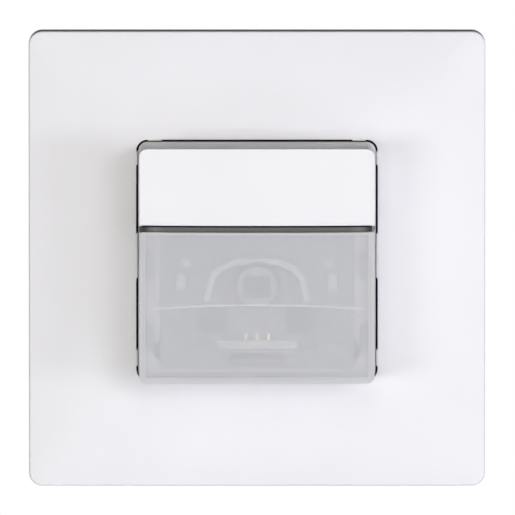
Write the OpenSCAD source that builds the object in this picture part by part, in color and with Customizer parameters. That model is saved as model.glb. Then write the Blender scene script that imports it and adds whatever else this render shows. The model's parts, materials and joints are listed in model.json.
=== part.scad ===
// Wall-mounted motion sensor light switch for a flush box.
// A square cover frame surrounds a raised head: a tilting push button above, a smoked light bar,
// and a translucent sensor lens below. Behind the mounting plate sits the base with its terminals.
// The front faces -Y and +Z is up. Depths count from the wall plane towards the front,
// so a depth of 21 lies at y = -21 and what is inside the wall has a negative depth.

/* [Cover frame] */
// Outer width and height of the cover frame
frame_w = 88; // [82:1:100]
// Depth of the frame's outer side walls
frame_side_depth = 5.2; // [5:0.1:8]
// Rise of the frame's face from its outer edge to its opening
frame_crown = 2.2; // [0.3:0.1:3]
// Thickness of the frame's side walls and face
frame_wall = 1.8; // [1.2:0.1:2]
// Radius of the frame's outer corners
frame_corner_r = 2.6; // [2:0.1:6]
// Radius of the frame's front edge
frame_edge_r = 0.25; // [0.2:0.05:1]
// Gap between the head and the frame's opening
opening_gap = 0.4; // [0.25:0.05:0.8]
// Clearance between the head and the guide ribs in the opening
rib_clearance = 0.1; // [0.05:0.01:0.2]
// Length of the guide rib in the middle of each side of the opening
rib_l = 8.5; // [6:0.1:12]
// Height of the middle of that rib above the middle of the opening
rib_mid_z = 0.8; // [-2:0.05:2]
// Length of the guide pads near the corners of the opening
pad_l = 3.1; // [2:0.1:4]
// Distance of a pad's middle from the next side of the opening
pad_inset = 3.3; // [2.6:0.1:6]
// The same distance for the lower pads of the left and right side
low_pad_inset = 4.3; // [2.6:0.1:6]

/* [Sensor head] */
// Width and height of the head's front
head_w = 45.2; // [44.6:0.2:52]
// Height of the head's front above the frame's face
head_rise = 13.6; // [13:0.1:20]
// Draft of the head's sides, in degrees
head_draft = 1.15; // [0.4:0.05:1.6]
// Corner radius of the head
head_corner_r = 1.5; // [1:0.1:3]
// Radius of the head's front edge
head_edge_r = 0.25; // [0.2:0.05:0.8]
// Height of the push button's face
button_h = 14.7; // [14:0.1:17]
// Wall of the push button
button_wall = 1.4; // [1:0.1:1.6]
// Gap between the button's back edge and the carrier's rim
button_gap = 0.8; // [0.7:0.1:1.5]
// Height of the strip between button and lens
strip_h = 1.35; // [1.25:0.05:2]
// Wall of the lens
lens_wall = 1.2; // [0.8:0.1:1.6]
// Thickness of the snap tabs on the lens
lens_tab_t = 1.2; // [0.8:0.1:1.6]
// Width of the snap tabs on the lens
lens_tab_w = 5; // [3:0.1:7]
// Clearance on each side of a snap tab
lens_tab_fit = 0.1; // [0.05:0.05:0.2]
// Width of the carrier's ledge beside the sensor board
ledge_w = 1.35; // [0.8:0.05:1.6]
// Radius of the curved zone line on the inside of the lens
zone_line_r = 261; // [150:1:400]
// Width of the zone line
zone_line_w = 0.35; // [0.2:0.05:0.8]
// Depth of the zone line
zone_line_depth = 0.3; // [0.1:0.05:0.5]

/* [Light bar] */
// Height of the light bar
bar_t = 0.85; // [0.6:0.05:0.9]
// Recess of the light bar behind the head's front
bar_recess = 0.9; // [0.4:0.1:2]
// Gap between the light bar and the lens
bar_gap = 0.08; // [0.05:0.01:0.12]
// Length of each foot of the light bar
bar_foot_l = 1.5; // [1:0.1:3]

/* [Carrier] */
// Thickness of the carrier's floor
carrier_floor_t = 1.6; // [1.2:0.1:1.9]
// Width of the flange that stands out behind the frame
flange_w = 1.6; // [1:0.1:3]
// Height of the carrier's tower above its floor
tower_h = 5.4; // [5:0.1:6]
// Wall of the tower
tower_wall = 1.5; // [1.2:0.1:1.8]
// Radius of the posts under the sensor board
post_r = 1.6; // [1:0.1:1.8]

/* [Button hinge] */
// Radius of the hinge pin
pin_r = 0.75; // [0.5:0.05:1]
// Running clearance of the pin in the button's ears
pin_clearance = 0.05; // [0.02:0.01:0.1]
// Seat clearance of the pin in the carrier's ears
pin_seat = 0.01; // [0.005:0.005:0.02]
// Height of the pin below the head's top
pin_drop = 3.4; // [3.2:0.1:3.8]
// Depth of the pin behind the head's front
pin_depth = 5.5; // [4.6:0.1:6.5]
// Distance of the carrier's ears from the middle
ear_x = 11.5; // [9:0.5:14]
// Thickness of each ear
ear_t = 2; // [1.5:0.1:2.4]
// Width of each ear
ear_w = 3.2; // [2.6:0.1:3.4]
// Side gap between an ear of the button and an ear of the carrier
ear_gap = 0.3; // [0.2:0.05:0.5]

/* [Sensor board] */
// Thickness of the sensor board
board_t = 1.2; // [0.8:0.1:1.6]
// Height of the board above the carrier's floor
board_standoff = 3.6; // [3.2:0.1:4]
// Clearance between the board and the tower
board_clearance = 0.45; // [0.2:0.05:0.8]

/* [Push switch] */
// Width of the push switch
switch_w = 6; // [5:0.1:6.4]
// Height of the push switch
switch_body_h = 3.5; // [3:0.1:4]
// Height of the switch above the button's lower edge
switch_rise = 2.6; // [2:0.1:3.2]
// Radius of the plunger
plunger_r = 1.7; // [1.2:0.1:2]
// Height of the plunger above the switch body
plunger_rise = 1.1; // [0.8:0.1:1.5]
// Length of the plunger inside the switch body
plunger_in = 1.1; // [0.6:0.1:1.3]
// Room below the plunger for its travel
plunger_room = 0.6; // [0.5:0.1:0.9]
// Running clearance of the plunger
plunger_clearance = 0.05; // [0.02:0.01:0.1]
// Gap between the button's nose and the plunger
nose_gap = 0.05; // [0.02:0.01:0.1]
// Radius of the button's nose
nose_r = 1.2; // [0.8:0.1:1.6]

/* [Setting dials] */
// Distance between the two dials
dial_pitch = 22; // [20:0.5:26]
// Width of a dial's base
dial_base_w = 7; // [6.4:0.1:7.4]
// Height of a dial's base
dial_base_h = 3; // [2.4:0.1:3.4]
// Radius of a dial
dial_r = 2.8; // [2.2:0.1:3.1]
// Thickness of a dial
dial_t = 1.1; // [0.9:0.1:1.5]
// Radius of a dial's spindle
spindle_r = 1.4; // [1:0.1:1.8]
// Running clearance of the spindle
spindle_clearance = 0.06; // [0.02:0.01:0.1]
// Width of the driver slot in a dial
driver_slot_w = 0.8; // [0.5:0.1:1]

/* [Motion sensor] */
// Height of the motion sensor above the head's lower edge
pir_rise = 17.9; // [16.6:0.1:18.1]
// Radius of the sensor's can
pir_r = 4.22; // [3.8:0.02:4.4]
// Height of the sensor's can
pir_can_h = 4.3; // [3.6:0.1:5]
// Sheet thickness of the can
pir_sheet = 0.3; // [0.2:0.05:0.4]
// Width of the sensor's window
pir_window_w = 5.6; // [4:0.1:5.8]
// Height of the sensor's window
pir_window_h = 4.6; // [3:0.1:4.8]
// Wall of the visor round the sensor
visor_wall = 1.2; // [0.6:0.05:1.3]
// Height of the visor above the board
visor_h = 3.9; // [2:0.1:6]
// Wall of the lower baffle
baffle_wall = 0.5; // [0.4:0.1:0.8]
// Height of the lower baffle above the board
baffle_h = 2.8; // [1.5:0.1:5]

/* [Mounting plate] */
// Width and height of the mounting plate
plate_w = 71; // [70:0.5:74]
// Thickness of the mounting plate
plate_t = 1.2; // [1:0.1:1.4]
// Corner radius of the mounting plate
plate_corner_r = 4; // [2:0.5:8]
// Distance between opposite box screws
box_pitch = 60; // [58:0.5:61]
// Width of a box screw slot
slot_w = 4.2; // [3.6:0.1:4.4]
// Length of a box screw slot
slot_l = 7; // [5:0.1:7.4]
// Width and height of the plate's window
plate_window = 24; // [23:0.5:27]
// Sheet thickness of the frame clips
clip_sheet = 0.6; // [0.4:0.1:0.8]
// Width of a frame clip
clip_w = 8; // [5:0.5:12]
// Distance between a frame clip and its rib in the frame
clip_gap = 0.2; // [0.1:0.05:0.3]
// Distance between the two frame clips of one side
clip_pitch = 40; // [32:1:48]

/* [Base] */
// Width and height of the base housing
base_w = 46; // [45.6:0.2:49]
// Depth of the base housing
base_depth = 20; // [18.5:0.5:30]
// Wall of the base housing
base_wall = 1.6; // [1.2:0.1:1.8]
// Chamfer at the corners of the base
base_chamfer = 7; // [5:0.5:7.5]
// Thickness of the rear cover
rear_cover_t = 1.6; // [1.2:0.1:2.2]
// Radius of the screw bosses
boss_r = 2.7; // [2.2:0.1:2.8]
// Distance between neighbouring screws
screw_pitch = 35; // [34:0.5:35.5]
// Distance of the power board from the base's front wall
power_board_gap = 2.8; // [2.6:0.1:4]
// Thickness of the power board
power_board_t = 1.6; // [1:0.1:2]
// Clearance round the power board
power_board_clearance = 0.4; // [0.2:0.05:0.8]

/* [Plug connection] */
// Number of pins between the head and the base
pin_count = 8; // [4:1:8]
// Distance between the pins
pin_pitch = 2.54; // [2:0.01:2.54]
// Width of a pin
pin_w = 0.64; // [0.5:0.02:0.7]
// Clearance of a pin in its holes
pin_hole_clearance = 0.08; // [0.02:0.01:0.15]
// Height of the plug row relative to the middle of the plate
plug_z = 3; // [2:0.1:4]
// Width of the socket and of the pin strip
plug_w = 2.5; // [2:0.1:3]

/* [Terminals] */
// Number of wire terminals
terminal_count = 4; // [2:1:4]
// Distance between the wire terminals
terminal_pitch = 5; // [4.8:0.1:5.4]
// Gap between neighbouring terminals
terminal_gap = 0.1; // [0.05:0.05:0.3]
// Height of a terminal
terminal_h = 10; // [9.4:0.1:10.2]
// How far the terminals stand out of the rear cover
terminal_proud = 0.5; // [0.2:0.1:1.5]
// Radius of a wire entry
wire_r = 1.5; // [1.2:0.05:1.7]
// Length of a wire entry
wire_guide = 6.5; // [5:0.1:8]
// Sheet thickness of the terminal springs
spring_sheet = 0.4; // [0.3:0.05:0.5]

/* [Fasteners] */
// Radius of the screws
screw_r = 1.25; // [1:0.05:1.35]
// Radius of the screw heads
screw_head_r = 2.3; // [1.8:0.1:2.5]
// Height of the screw heads
screw_head_h = 1.5; // [1:0.1:2]
// Clearance of a screw in the pieces that it holds
screw_clearance = 0.15; // [0.1:0.05:0.3]
// Seat clearance of a screw's thread
thread_seat = 0.02; // [0.01:0.01:0.05]
// Length of a stack screw in its boss
stack_screw_l = 8; // [5:0.5:9]
// Length of a cover screw in its boss
cover_screw_l = 6; // [4:0.5:7]

/* [Hidden] */
$fn = 48;

// Small overrun of a cut past the face that it opens
cut = 0.5;
// Thickness of the slices that a hull spans
slice = 0.01;
// Facets of a rounded corner that goes into a hull
hull_fn = 32;
// Least radius of an inner corner
least_r = 0.3;

// Depths of the main planes
frame_face_d = frame_side_depth + frame_crown;
frame_inner_d = frame_side_depth - frame_wall;
head_front_d = frame_face_d + head_rise;
floor_d = plate_t + carrier_floor_t;
rim_d = floor_d + tower_h;
board_back_d = floor_d + board_standoff;
board_front_d = board_back_d + board_t;
button_back_d = rim_d + button_gap;
pin_d = head_front_d - pin_depth;

// Half widths of the head and of what surrounds it
function head_half(d) = head_w / 2 + (head_front_d - d) * tan(head_draft);
function head_corner(d) = head_corner_r + (head_front_d - d) * tan(head_draft);
tower_half = head_half(rim_d);
tower_inner = tower_half - tower_wall;
opening_half = tower_half + opening_gap;
rib_t = opening_gap - rib_clearance;
tower_corner_r = head_corner(rim_d);
opening_corner_r = tower_corner_r + opening_gap;
tab_slot_x = tower_inner - lens_tab_t - 2 * lens_tab_fit;
board_half = tab_slot_x - ledge_w;
board_low_z = board_clearance - tower_inner;

// Heights of the head's pieces
dial_rise = 2;
head_top = head_w / 2;
button_low_z = head_top - button_h;
lens_top_z = button_low_z - strip_h;
pin_z = head_top - pin_drop;
switch_z = button_low_z + switch_rise;
dial_z = switch_z + dial_rise;
bar_low_z = lens_top_z + bar_gap;
bar_mid_z = bar_low_z + bar_t / 2;
ear_r = ear_w / 2;
board_top_z = pin_z - ear_r - board_clearance;
lens_mid_z = (lens_top_z - head_top) / 2;
pir_z = pir_rise - head_top;

// Push switch and dials
switch_top_d = board_front_d + switch_body_h;
plunger_top_d = switch_top_d + plunger_rise;
plunger_low_d = switch_top_d - plunger_in;
dial_base_top_d = board_front_d + dial_base_h;
dial_air = 0.15;
spindle_in = 1.8;
floor_room = 1.4;

// Light bar
bar_half = tower_half - tower_wall / 2;
bar_back_air = 0.8;

// Motion sensor
pir_header_t = 0.6;
pir_air = 0.3;
pir_brim = 0.25;
pir_top_d = board_front_d + pir_air + pir_header_t + pir_can_h;
lead_r = 0.25;
lead_hole_clearance = 0.1;
lead_circle_r = 2.5;
lead_tail = 0.8;
pir_element_size = [4.2, 3, 1.6];
pir_window_t = 0.5;
pir_window_lip = 0.2;

// Visor outline, one side from the middle of its arch to its foot, relative to the sensor's middle.
// Shoulder and bend are given from the foot, which keeps its distance from the board's edge.
visor_inset = 8.3;
visor_gap = 0.2;
visor_top = [0, 5.4];
visor_crown = [4.3, 5.3];
visor_shoulder = [2.7, 3.7];
visor_bend = [1.1, 1.9];
visor_foot_z = -2.9;
visor_x = board_half - visor_inset;
visor_side = [
    visor_top,
    visor_crown,
    [visor_x - visor_shoulder.x, visor_shoulder.y],
    [visor_x - visor_bend.x, visor_bend.y],
    [visor_x, visor_foot_z]
];

// Oval key of the carrier. It stands in the lower part of a slot in the board, above a web at the
// board's lower edge, and the slot stays open above it.
key_l = 9.8;
key_h = 1.1;
key_web = 0.5;
key_clearance = 0.2;
key_end_room = 0.5;
key_open_h = 1.2;
key_drop = 0.6;
key_slot_h = key_clearance + key_h + key_open_h;
key_slot_z = board_low_z + key_web + key_slot_h / 2;
key_z = board_low_z + key_web + key_clearance + key_h / 2;

// Baffle outline, one side from its upper end to its floor, which lies just above the key's slot
baffle_inset = 5.7;
baffle_top = -4.6;
baffle_knee = [0.65, 0.9];
baffle_cut = 1.75;
baffle_x = board_half - baffle_inset;
baffle_low_z = key_slot_z + key_slot_h / 2 + key_clearance;
baffle_floor = baffle_low_z - pir_z;
baffle_side = [
    [baffle_x, baffle_top],
    [baffle_x - baffle_knee.x, baffle_floor + baffle_knee.y],
    [baffle_x - baffle_cut, baffle_floor]
];

// Pieces on the sensor board: distance from the board's side edge and height from the sensor's middle,
// then width, height and thickness
clip_inset = [4, 0.5];
clip_size = [1.8, 3.2, 1.2];
clip_stem_h = 1.6;
light_sensor_inset = [4.8, 4.2];
light_sensor_size = [1.8, 1.8, 0.9];
controller_inset = [10.4, -6.8];
controller_size = [4.8, 4.6, 1];
amplifier_inset = [10.5, -6.8];
amplifier_size = [4.6, 4.6, 1];
program_header_gap = 0.15;
program_header_size = [15.4, 1.7, 2.2];
program_header_z = baffle_low_z + baffle_wall + program_header_gap + program_header_size.y / 2;
program_pin_size = [0.6, 1.4, 1.8];
program_pin_pitch = 2.2;
led_x = 9;
led_size = [1.6, bar_t, 0.6];
function from_edge(side, inset) = [side * (board_half - inset.x), inset.y];

// Posts under the board and snap tabs of the lens
post_inset = 2;
post_x = board_half - post_inset;
post_z = [6, -8];
lens_tab_z = [-1, -15];
lens_tab_reach = 2;
lens_tab_air = 1.4;
zone_line_rise = 0.6;

// Plug connection
plug_end = 0.2;
plug_l = pin_count * pin_pitch + 2 * plug_end;
plug_clearance = 0.5;
pin_hole = pin_w + 2 * pin_hole_clearance;
pin_air = 0.3;
pin_tail = 1.2;
socket_gap = 0.7;
socket_roof = 0.5;
socket_low_d = plate_t + socket_gap;
pin_top_d = board_back_d - socket_roof;

// Base planes, all inside the wall
base_front_d = -base_wall;
power_front_d = base_front_d - power_board_gap;
power_rear_d = power_front_d - power_board_t;
base_rear_d = -base_depth;
cover_rear_d = base_rear_d - rear_cover_t;
base_inner = base_w / 2 - base_wall;
power_half = base_inner - power_board_clearance;
strip_low_d = base_front_d - power_board_gap;
strip_t = power_board_gap - pin_air;

// Chamfer of an outline that lies a given distance inside the base's outline
function inner_chamfer(inset) = base_chamfer - inset * (2 - sqrt(2));

// Terminals
terminal_rear_d = cover_rear_d - terminal_proud;
terminal_w = terminal_pitch - terminal_gap;
terminal_inset = 1.8;
terminal_low_z = terminal_inset - base_inner;
terminal_mid_z = terminal_low_z + terminal_h / 2;
terminal_top_z = terminal_low_z + terminal_h;
terminal_fit = 0.15;
wire_roof = 1.6;
wire_z = terminal_top_z - wire_roof - wire_r;
release_rise = 2.2;
release_w = 2.6;
release_h = 1.4;
release_z = terminal_low_z + release_rise;
chamber_end = 1.4;
chamber_side = 0.65;
chamber_floor = 1;
chamber_roof = 0.8;
chamber_rear_d = terminal_rear_d + wire_guide;
chamber_front_d = power_rear_d - chamber_end;
chamber_w = terminal_w - 2 * chamber_side;
chamber_low_z = terminal_low_z + chamber_floor;
chamber_top_z = terminal_top_z - chamber_roof;
spring_foot_air = 1;
spring_tip_air = 1.2;
contact_t = 0.5;
cover_lip_t = 1.2;
cover_lip_h = 1.5;
cover_lip_l = 18;
cover_lip_fit = 0.1;

// Mains parts on the power board: distances from the base's walls and from the terminals,
// then width, height and depth
part_gap = 0.4;
part_air = 0.7;
relay_size = [19, 9.6, 11];
relay_inset = 2.8;
relay_x = -4.1;
relay_at = [relay_x, base_inner - relay_inset - relay_size.y / 2];
smoothing_capacitor_r = 4;
smoothing_capacitor_l = 10.5;
smoothing_capacitor_inset = 4.2;
smoothing_capacitor_x = 10.6;
smoothing_capacitor_z = base_inner - smoothing_capacitor_inset - smoothing_capacitor_r;
fuse_r = 1.9;
fuse_l = 7.5;
fuse_lead_w = 0.6;
fuse_inset = 2;
fuse_at = [fuse_inset + fuse_l / 2 - base_inner, terminal_top_z + part_gap + fuse_r];
film_capacitor_size = [12.6, 4.4, 9.5];
film_capacitor_inset = 1.2;
film_capacitor_at = [
    film_capacitor_inset + film_capacitor_size.x / 2 - base_inner,
    fuse_at.y + fuse_r + part_gap + film_capacitor_size.y / 2
];
transformer_core = [14, 6.6, 9];
transformer_coil = [10.4, 8.2, 6.6];
transformer_x = 2.2;
transformer_at = [transformer_x, terminal_top_z + part_gap + transformer_coil.y / 2];
varistor_r = 3.6;
varistor_t = 3.2;
varistor_lead = [1.6, 1];
varistor_lead_pitch = 4;
varistor_inset = 5.2;
varistor_z = -1.5;
varistor_x = base_inner - varistor_inset - varistor_t / 2;
board_post_x = 10;

// Screws
screw_half = screw_pitch / 2;
screw_room = 1;
cross_slot = [0.6, 2.8];
screw_corners = [[1, 1], [-1, 1], [-1, -1], [1, -1]];

// Clip ribs of the cover frame
clip_leaf_x = plate_w / 2 - clip_sheet;
clip_rib_x = plate_w / 2 + clip_gap;
clip_air = 0.3;
clip_top_d = frame_inner_d - clip_air;
clip_rib_t = 2;
clip_pad_l = 5;
plate_window_r = 2;

// Draws a flat outline in the wall plane and gives it depth from d0 to d1
module layer(d0, d1) {
    translate([0, -d0, 0]) rotate([90, 0, 0]) linear_extrude(height = d1 - d0) children();
}

// Square block between two corners of the wall plane
module block(x0, x1, z0, z1, d0, d1) {
    translate([x0, -d1, z0]) cube([x1 - x0, d1 - d0, z1 - z0]);
}

// Square block round a middle
module block_at(x, z, w, h, d0, d1) {
    block(x - w / 2, x + w / 2, z - h / 2, z + h / 2, d0, d1);
}

// Round rod square to the wall
module rod(x, z, r, d0, d1) {
    translate([x, -d0, z]) rotate([90, 0, 0]) cylinder(r = r, h = d1 - d0);
}

// Round rod from side to side
module cross_rod(x0, x1, z, d, r) {
    translate([x0, -d, z]) rotate([0, 90, 0]) cylinder(r = r, h = x1 - x0);
}

// Round end of a hinge ear
module ear_boss(x) {
    cross_rod(x - ear_t / 2, x + ear_t / 2, pin_z, pin_d, ear_r);
}

// Rectangle with round corners
module round_rect(w, h, r) {
    union() {
        square([w - 2 * r, h], center = true);
        square([w, h - 2 * r], center = true);
        for (sx = [-1, 1], sz = [-1, 1])
            translate([sx * (w / 2 - r), sz * (h / 2 - r)]) circle(r);
    }
}

// Slot with round ends along X
module slot(l, w) {
    square([l - w, w], center = true);
    for (side = [-1, 1]) translate([side * (l - w) / 2, 0]) circle(w / 2);
}

// Square with cut corners
module cut_square(w, chamfer) {
    h = w / 2;
    c = h - chamfer;
    polygon([[h, c], [c, h], [-c, h], [-h, c], [-h, -c], [-c, -h], [c, -h], [h, -c]]);
}

// Outline of the base: a square with cut corners that swells where a screw boss needs it
module base_outline() {
    cut_square(base_w, base_chamfer);
    for (corner = screw_corners) translate(screw_half * corner) circle(boss_r);
}

// Places children at the four screws
module at_screws() {
    for (corner = screw_corners)
        translate([corner.x * screw_half, 0, corner.y * screw_half]) children();
}

// Places children at each pin of the plug row
module at_pins() {
    for (i = [0 : pin_count - 1])
        translate([(i - (pin_count - 1) / 2) * pin_pitch, 0, plug_z]) children();
}

// Places children at each wire terminal
module at_terminals() {
    for (i = [0 : terminal_count - 1])
        translate([(i - (terminal_count - 1) / 2) * terminal_pitch, 0, 0]) children();
}

// Opening that the plug row passes through
module plug_gap(d0, d1) {
    block_at(0, plug_z, plug_l + 2 * plug_clearance, plug_w + 2 * plug_clearance, d0, d1);
}

// Places children at each lead of the motion sensor
module at_leads() {
    for (a = [30, 150, 270])
        translate([lead_circle_r * cos(a), 0, pir_z + lead_circle_r * sin(a)]) children();
}

// Slice of a rounded square for a hull
module ring(half, r, d) {
    layer(d - slice, d) round_rect(2 * half, 2 * half, r, $fn = hull_fn);
}

// Solid form of the head: drafted sides, round corners and a round front edge
module head_form(inset, back_d, front_d) {
    edge_d = front_d - head_edge_r;
    hull() {
        ring(head_half(back_d) - inset, max(head_corner(back_d) - inset, least_r), back_d + slice);
        for (a = [0 : 22.5 : 90])
            ring(head_half(edge_d) - inset - head_edge_r * (1 - cos(a)),
                max(head_corner(edge_d) - inset - head_edge_r * (1 - cos(a)), least_r),
                edge_d + head_edge_r * sin(a));
    }
}

// Open-backed shell cut from the head between two heights
module head_shell(low_z, high_z, wall, back_d) {
    reach = head_w;
    difference() {
        intersection() {
            head_form(0, back_d, head_front_d);
            block(-reach, reach, low_z, high_z, back_d, head_front_d + cut);
        }
        intersection() {
            head_form(wall, back_d - cut, head_front_d - wall);
            block(-reach, reach, low_z + wall, high_z - wall, back_d - cut, head_front_d);
        }
    }
}

// Guide rib or pad on the right side of the opening
module opening_rib(z, l) {
    translate([opening_half, z]) square([2 * rib_t, l], center = true);
}

// Opening of the cover frame, with its guide ribs and pads left standing
module frame_opening() {
    pad_at = opening_half - pad_inset;
    low_pad_at = opening_half - low_pad_inset;
    difference() {
        round_rect(2 * opening_half, 2 * opening_half, opening_corner_r);
        for (side = [0, 1]) mirror([side, 0]) {
            opening_rib(rib_mid_z, rib_l);
            opening_rib(pad_at, pad_l);
            opening_rib(-low_pad_at, pad_l);
        }
        for (turn = [90, -90], end = [-1, 1])
            rotate(turn) opening_rib(end * pad_at, pad_l);
    }
}

// Crowned face and skirt of the cover frame, still without its opening
module frame_form() {
    half = frame_w / 2;
    edge_half = half - frame_edge_r;
    edge_d = frame_side_depth - frame_edge_r;
    hull() {
        ring(half, frame_corner_r, slice);
        for (a = [0 : 30 : 90])
            ring(half - frame_edge_r * (1 - cos(a)), frame_corner_r - frame_edge_r * (1 - cos(a)),
                edge_d + frame_edge_r * sin(a));
        for (t = [0.25 : 0.25 : 1])
            ring(edge_half + (opening_half - edge_half) * t, opening_corner_r,
                frame_side_depth + frame_crown * (1 - (1 - t) * (1 - t)));
    }
}

// Hollow under the crowned face, up to the collar round the opening
module frame_pocket() {
    collar_half = opening_half + frame_wall;
    inner_half = frame_w / 2 - frame_wall;
    difference() {
        hull() {
            ring(inner_half, least_r, frame_inner_d - 2 * slice);
            for (t = [0.25 : 0.25 : 1])
                ring(inner_half + (collar_half - inner_half) * t, least_r,
                    frame_inner_d + frame_crown * (1 - (1 - t) * (1 - t)) - slice);
        }
        layer(0, frame_face_d) round_rect(2 * collar_half, 2 * collar_half, opening_corner_r + frame_wall);
    }
}

module cover_frame() {
    inner_half = frame_w / 2 - frame_wall;
    inner_r = max(frame_corner_r - frame_wall, least_r);
    color([0.93, 0.93, 0.95]) {
        difference() {
            frame_form();
            layer(-cut, frame_inner_d) round_rect(2 * inner_half, 2 * inner_half, inner_r);
            layer(0, frame_face_d + cut) frame_opening();
            frame_pocket();
        }
        for (side = [-1, 1], row = [-1, 1])
            translate([0, 0, row * clip_pitch / 2])
                block(min(side * clip_rib_x, side * inner_half), max(side * clip_rib_x, side * inner_half),
                    -clip_rib_t / 2, clip_rib_t / 2, plate_t, frame_side_depth - frame_edge_r);
    }
}

module push_button() {
    inner_d = head_front_d - button_wall;
    inner_half = head_half(button_back_d) - button_wall;
    floor_back_d = plunger_top_d + floor_room;
    ear_inner = ear_x + ear_t + ear_gap;
    ear_end = ear_inner + ear_t;
    color([0.94, 0.94, 0.96])
    difference() {
        union() {
            difference() {
                head_shell(button_low_z, head_top + cut, button_wall, button_back_d);
                block(-inner_half, inner_half, button_low_z - cut, button_low_z + button_wall + cut,
                    button_back_d - cut, floor_back_d);
            }
            for (side = [-1, 1]) {
                block_at(side * (ear_inner + ear_t / 2), pin_z, ear_t, ear_w, pin_d, inner_d + cut);
                ear_boss(side * (ear_inner + ear_t / 2));
            }
            rod(0, switch_z, nose_r, plunger_top_d + nose_gap + nose_r, inner_d + cut);
            translate([0, -(plunger_top_d + nose_gap + nose_r), switch_z]) sphere(nose_r);
        }
        cross_rod(-ear_end - cut, ear_end + cut, pin_z, pin_d, pin_r + pin_clearance);
    }
}

module light_bar() {
    color([0.42, 0.43, 0.41]) {
        block(-bar_half, bar_half, bar_low_z, bar_low_z + bar_t,
            rim_d + bar_back_air, head_front_d - bar_recess);
        for (side = [-1, 1])
            block_at(side * (bar_half - bar_foot_l / 2), bar_mid_z, bar_foot_l, bar_t,
                rim_d, rim_d + bar_back_air);
    }
}

module fresnel_lens() {
    inner_d = head_front_d - lens_wall;
    line_z = lens_mid_z + zone_line_rise - zone_line_r;
    tab_x = tower_inner - lens_tab_fit - lens_tab_t / 2;
    tab_low_d = floor_d + lens_tab_air;
    tab_top_d = rim_d + lens_tab_reach;
    color([0.76, 0.77, 0.79])
    difference() {
        union() {
            head_shell(-head_top - cut, lens_top_z, lens_wall, rim_d);
            for (side = [-1, 1], z = lens_tab_z) {
                block_at(side * tab_x, z, lens_tab_t, lens_tab_w, tab_low_d, tab_top_d);
                block_at(side * (tab_x + lens_tab_t / 2), z, lens_tab_t, lens_tab_w, rim_d, tab_top_d);
            }
        }
        intersection() {
            difference() {
                rod(0, line_z, zone_line_r, inner_d - cut, inner_d + zone_line_depth);
                rod(0, line_z, zone_line_r - zone_line_w, inner_d - 2 * cut, inner_d + cut);
            }
            block(-head_top + 2 * lens_wall, head_top - 2 * lens_wall, -head_top, lens_top_z,
                inner_d - cut, inner_d + cut);
        }
    }
}

// Ledge of the carrier beside and below the sensor board, open where the lens's tabs pass
module board_ledge() {
    side_in = board_half + lens_tab_fit;
    low_in = board_low_z - lens_tab_fit;
    tab_room = lens_tab_w + 2 * lens_tab_fit;
    layer(floor_d - cut, board_front_d)
        difference() {
            square(2 * tower_inner + 2 * cut, center = true);
            translate([-side_in, low_in]) square([2 * side_in, tower_inner - low_in + 2 * cut]);
            for (side = [-1, 1], z = lens_tab_z)
                translate([side * tower_inner, z])
                    square([2 * (tower_inner - tab_slot_x), tab_room], center = true);
        }
}

module head_carrier() {
    flange_half = tower_half + flange_w;
    color([0.86, 0.86, 0.84])
    difference() {
        union() {
            layer(plate_t, floor_d) round_rect(2 * flange_half, 2 * flange_half, tower_corner_r + flange_w);
            difference() {
                union() {
                    difference() {
                        layer(floor_d - cut, rim_d)
                            round_rect(2 * tower_half, 2 * tower_half, tower_corner_r);
                        layer(floor_d, rim_d + cut) round_rect(2 * tower_inner, 2 * tower_inner, least_r);
                    }
                    board_ledge();
                }
                at_screws()
                    rod(0, 0, screw_head_r + screw_clearance, floor_d - 2 * cut, rim_d + cut);
            }
            for (side = [-1, 1]) {
                block_at(side * (ear_x + ear_t / 2), pin_z, ear_t, ear_w, floor_d - cut, pin_d);
                ear_boss(side * (ear_x + ear_t / 2));
                for (z = post_z) rod(side * post_x, z, post_r, floor_d - cut, board_back_d);
            }
            layer(floor_d - cut, board_front_d - key_drop)
                translate([0, key_z]) slot(key_l, key_h);
        }
        cross_rod(-ear_x - ear_t - cut, ear_x + ear_t + cut, pin_z, pin_d, pin_r + pin_seat);
        plug_gap(plate_t - cut, floor_d + cut);
        at_screws() rod(0, 0, screw_r + screw_clearance, plate_t - cut, floor_d + cut);
    }
}

module hinge_pin() {
    half = ear_x + 2 * ear_t + ear_gap;
    color([0.7, 0.7, 0.72]) cross_rod(-half, half, pin_z, pin_d, pin_r);
}

// Stem of a board clip, and its hole in the board
module clip_stem(side, w, h, d0, d1) {
    at = from_edge(side, clip_inset);
    block_at(at.x, pir_z + at.y, w, h, d0, d1);
}

module sensor_board() {
    color([0.56, 0.57, 0.57])
    difference() {
        block(-board_half, board_half, board_low_z, board_top_z, board_back_d, board_front_d);
        layer(board_back_d - cut, board_front_d + cut)
            translate([0, key_slot_z]) slot(key_l + 2 * key_end_room, key_slot_h);
        for (side = [-1, 1])
            clip_stem(side, clip_size.x + 2 * key_clearance, clip_stem_h + 2 * key_clearance,
                board_back_d - cut, board_front_d + cut);
        at_leads() rod(0, 0, lead_r + lead_hole_clearance, board_back_d - cut, board_front_d + cut);
    }
}

module pir_header() {
    header_d = board_front_d + pir_air;
    color([0.72, 0.72, 0.7]) {
        rod(0, pir_z, pir_r + pir_brim, header_d, header_d + pir_header_t);
        at_leads() rod(0, 0, lead_r, board_back_d - lead_tail, header_d + slice);
    }
}

module pir_element() {
    header_top_d = board_front_d + pir_air + pir_header_t;
    color([0.9, 0.88, 0.8])
        block_at(0, pir_z, pir_element_size.x, pir_element_size.y,
            header_top_d, header_top_d + pir_element_size.z);
}

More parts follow.
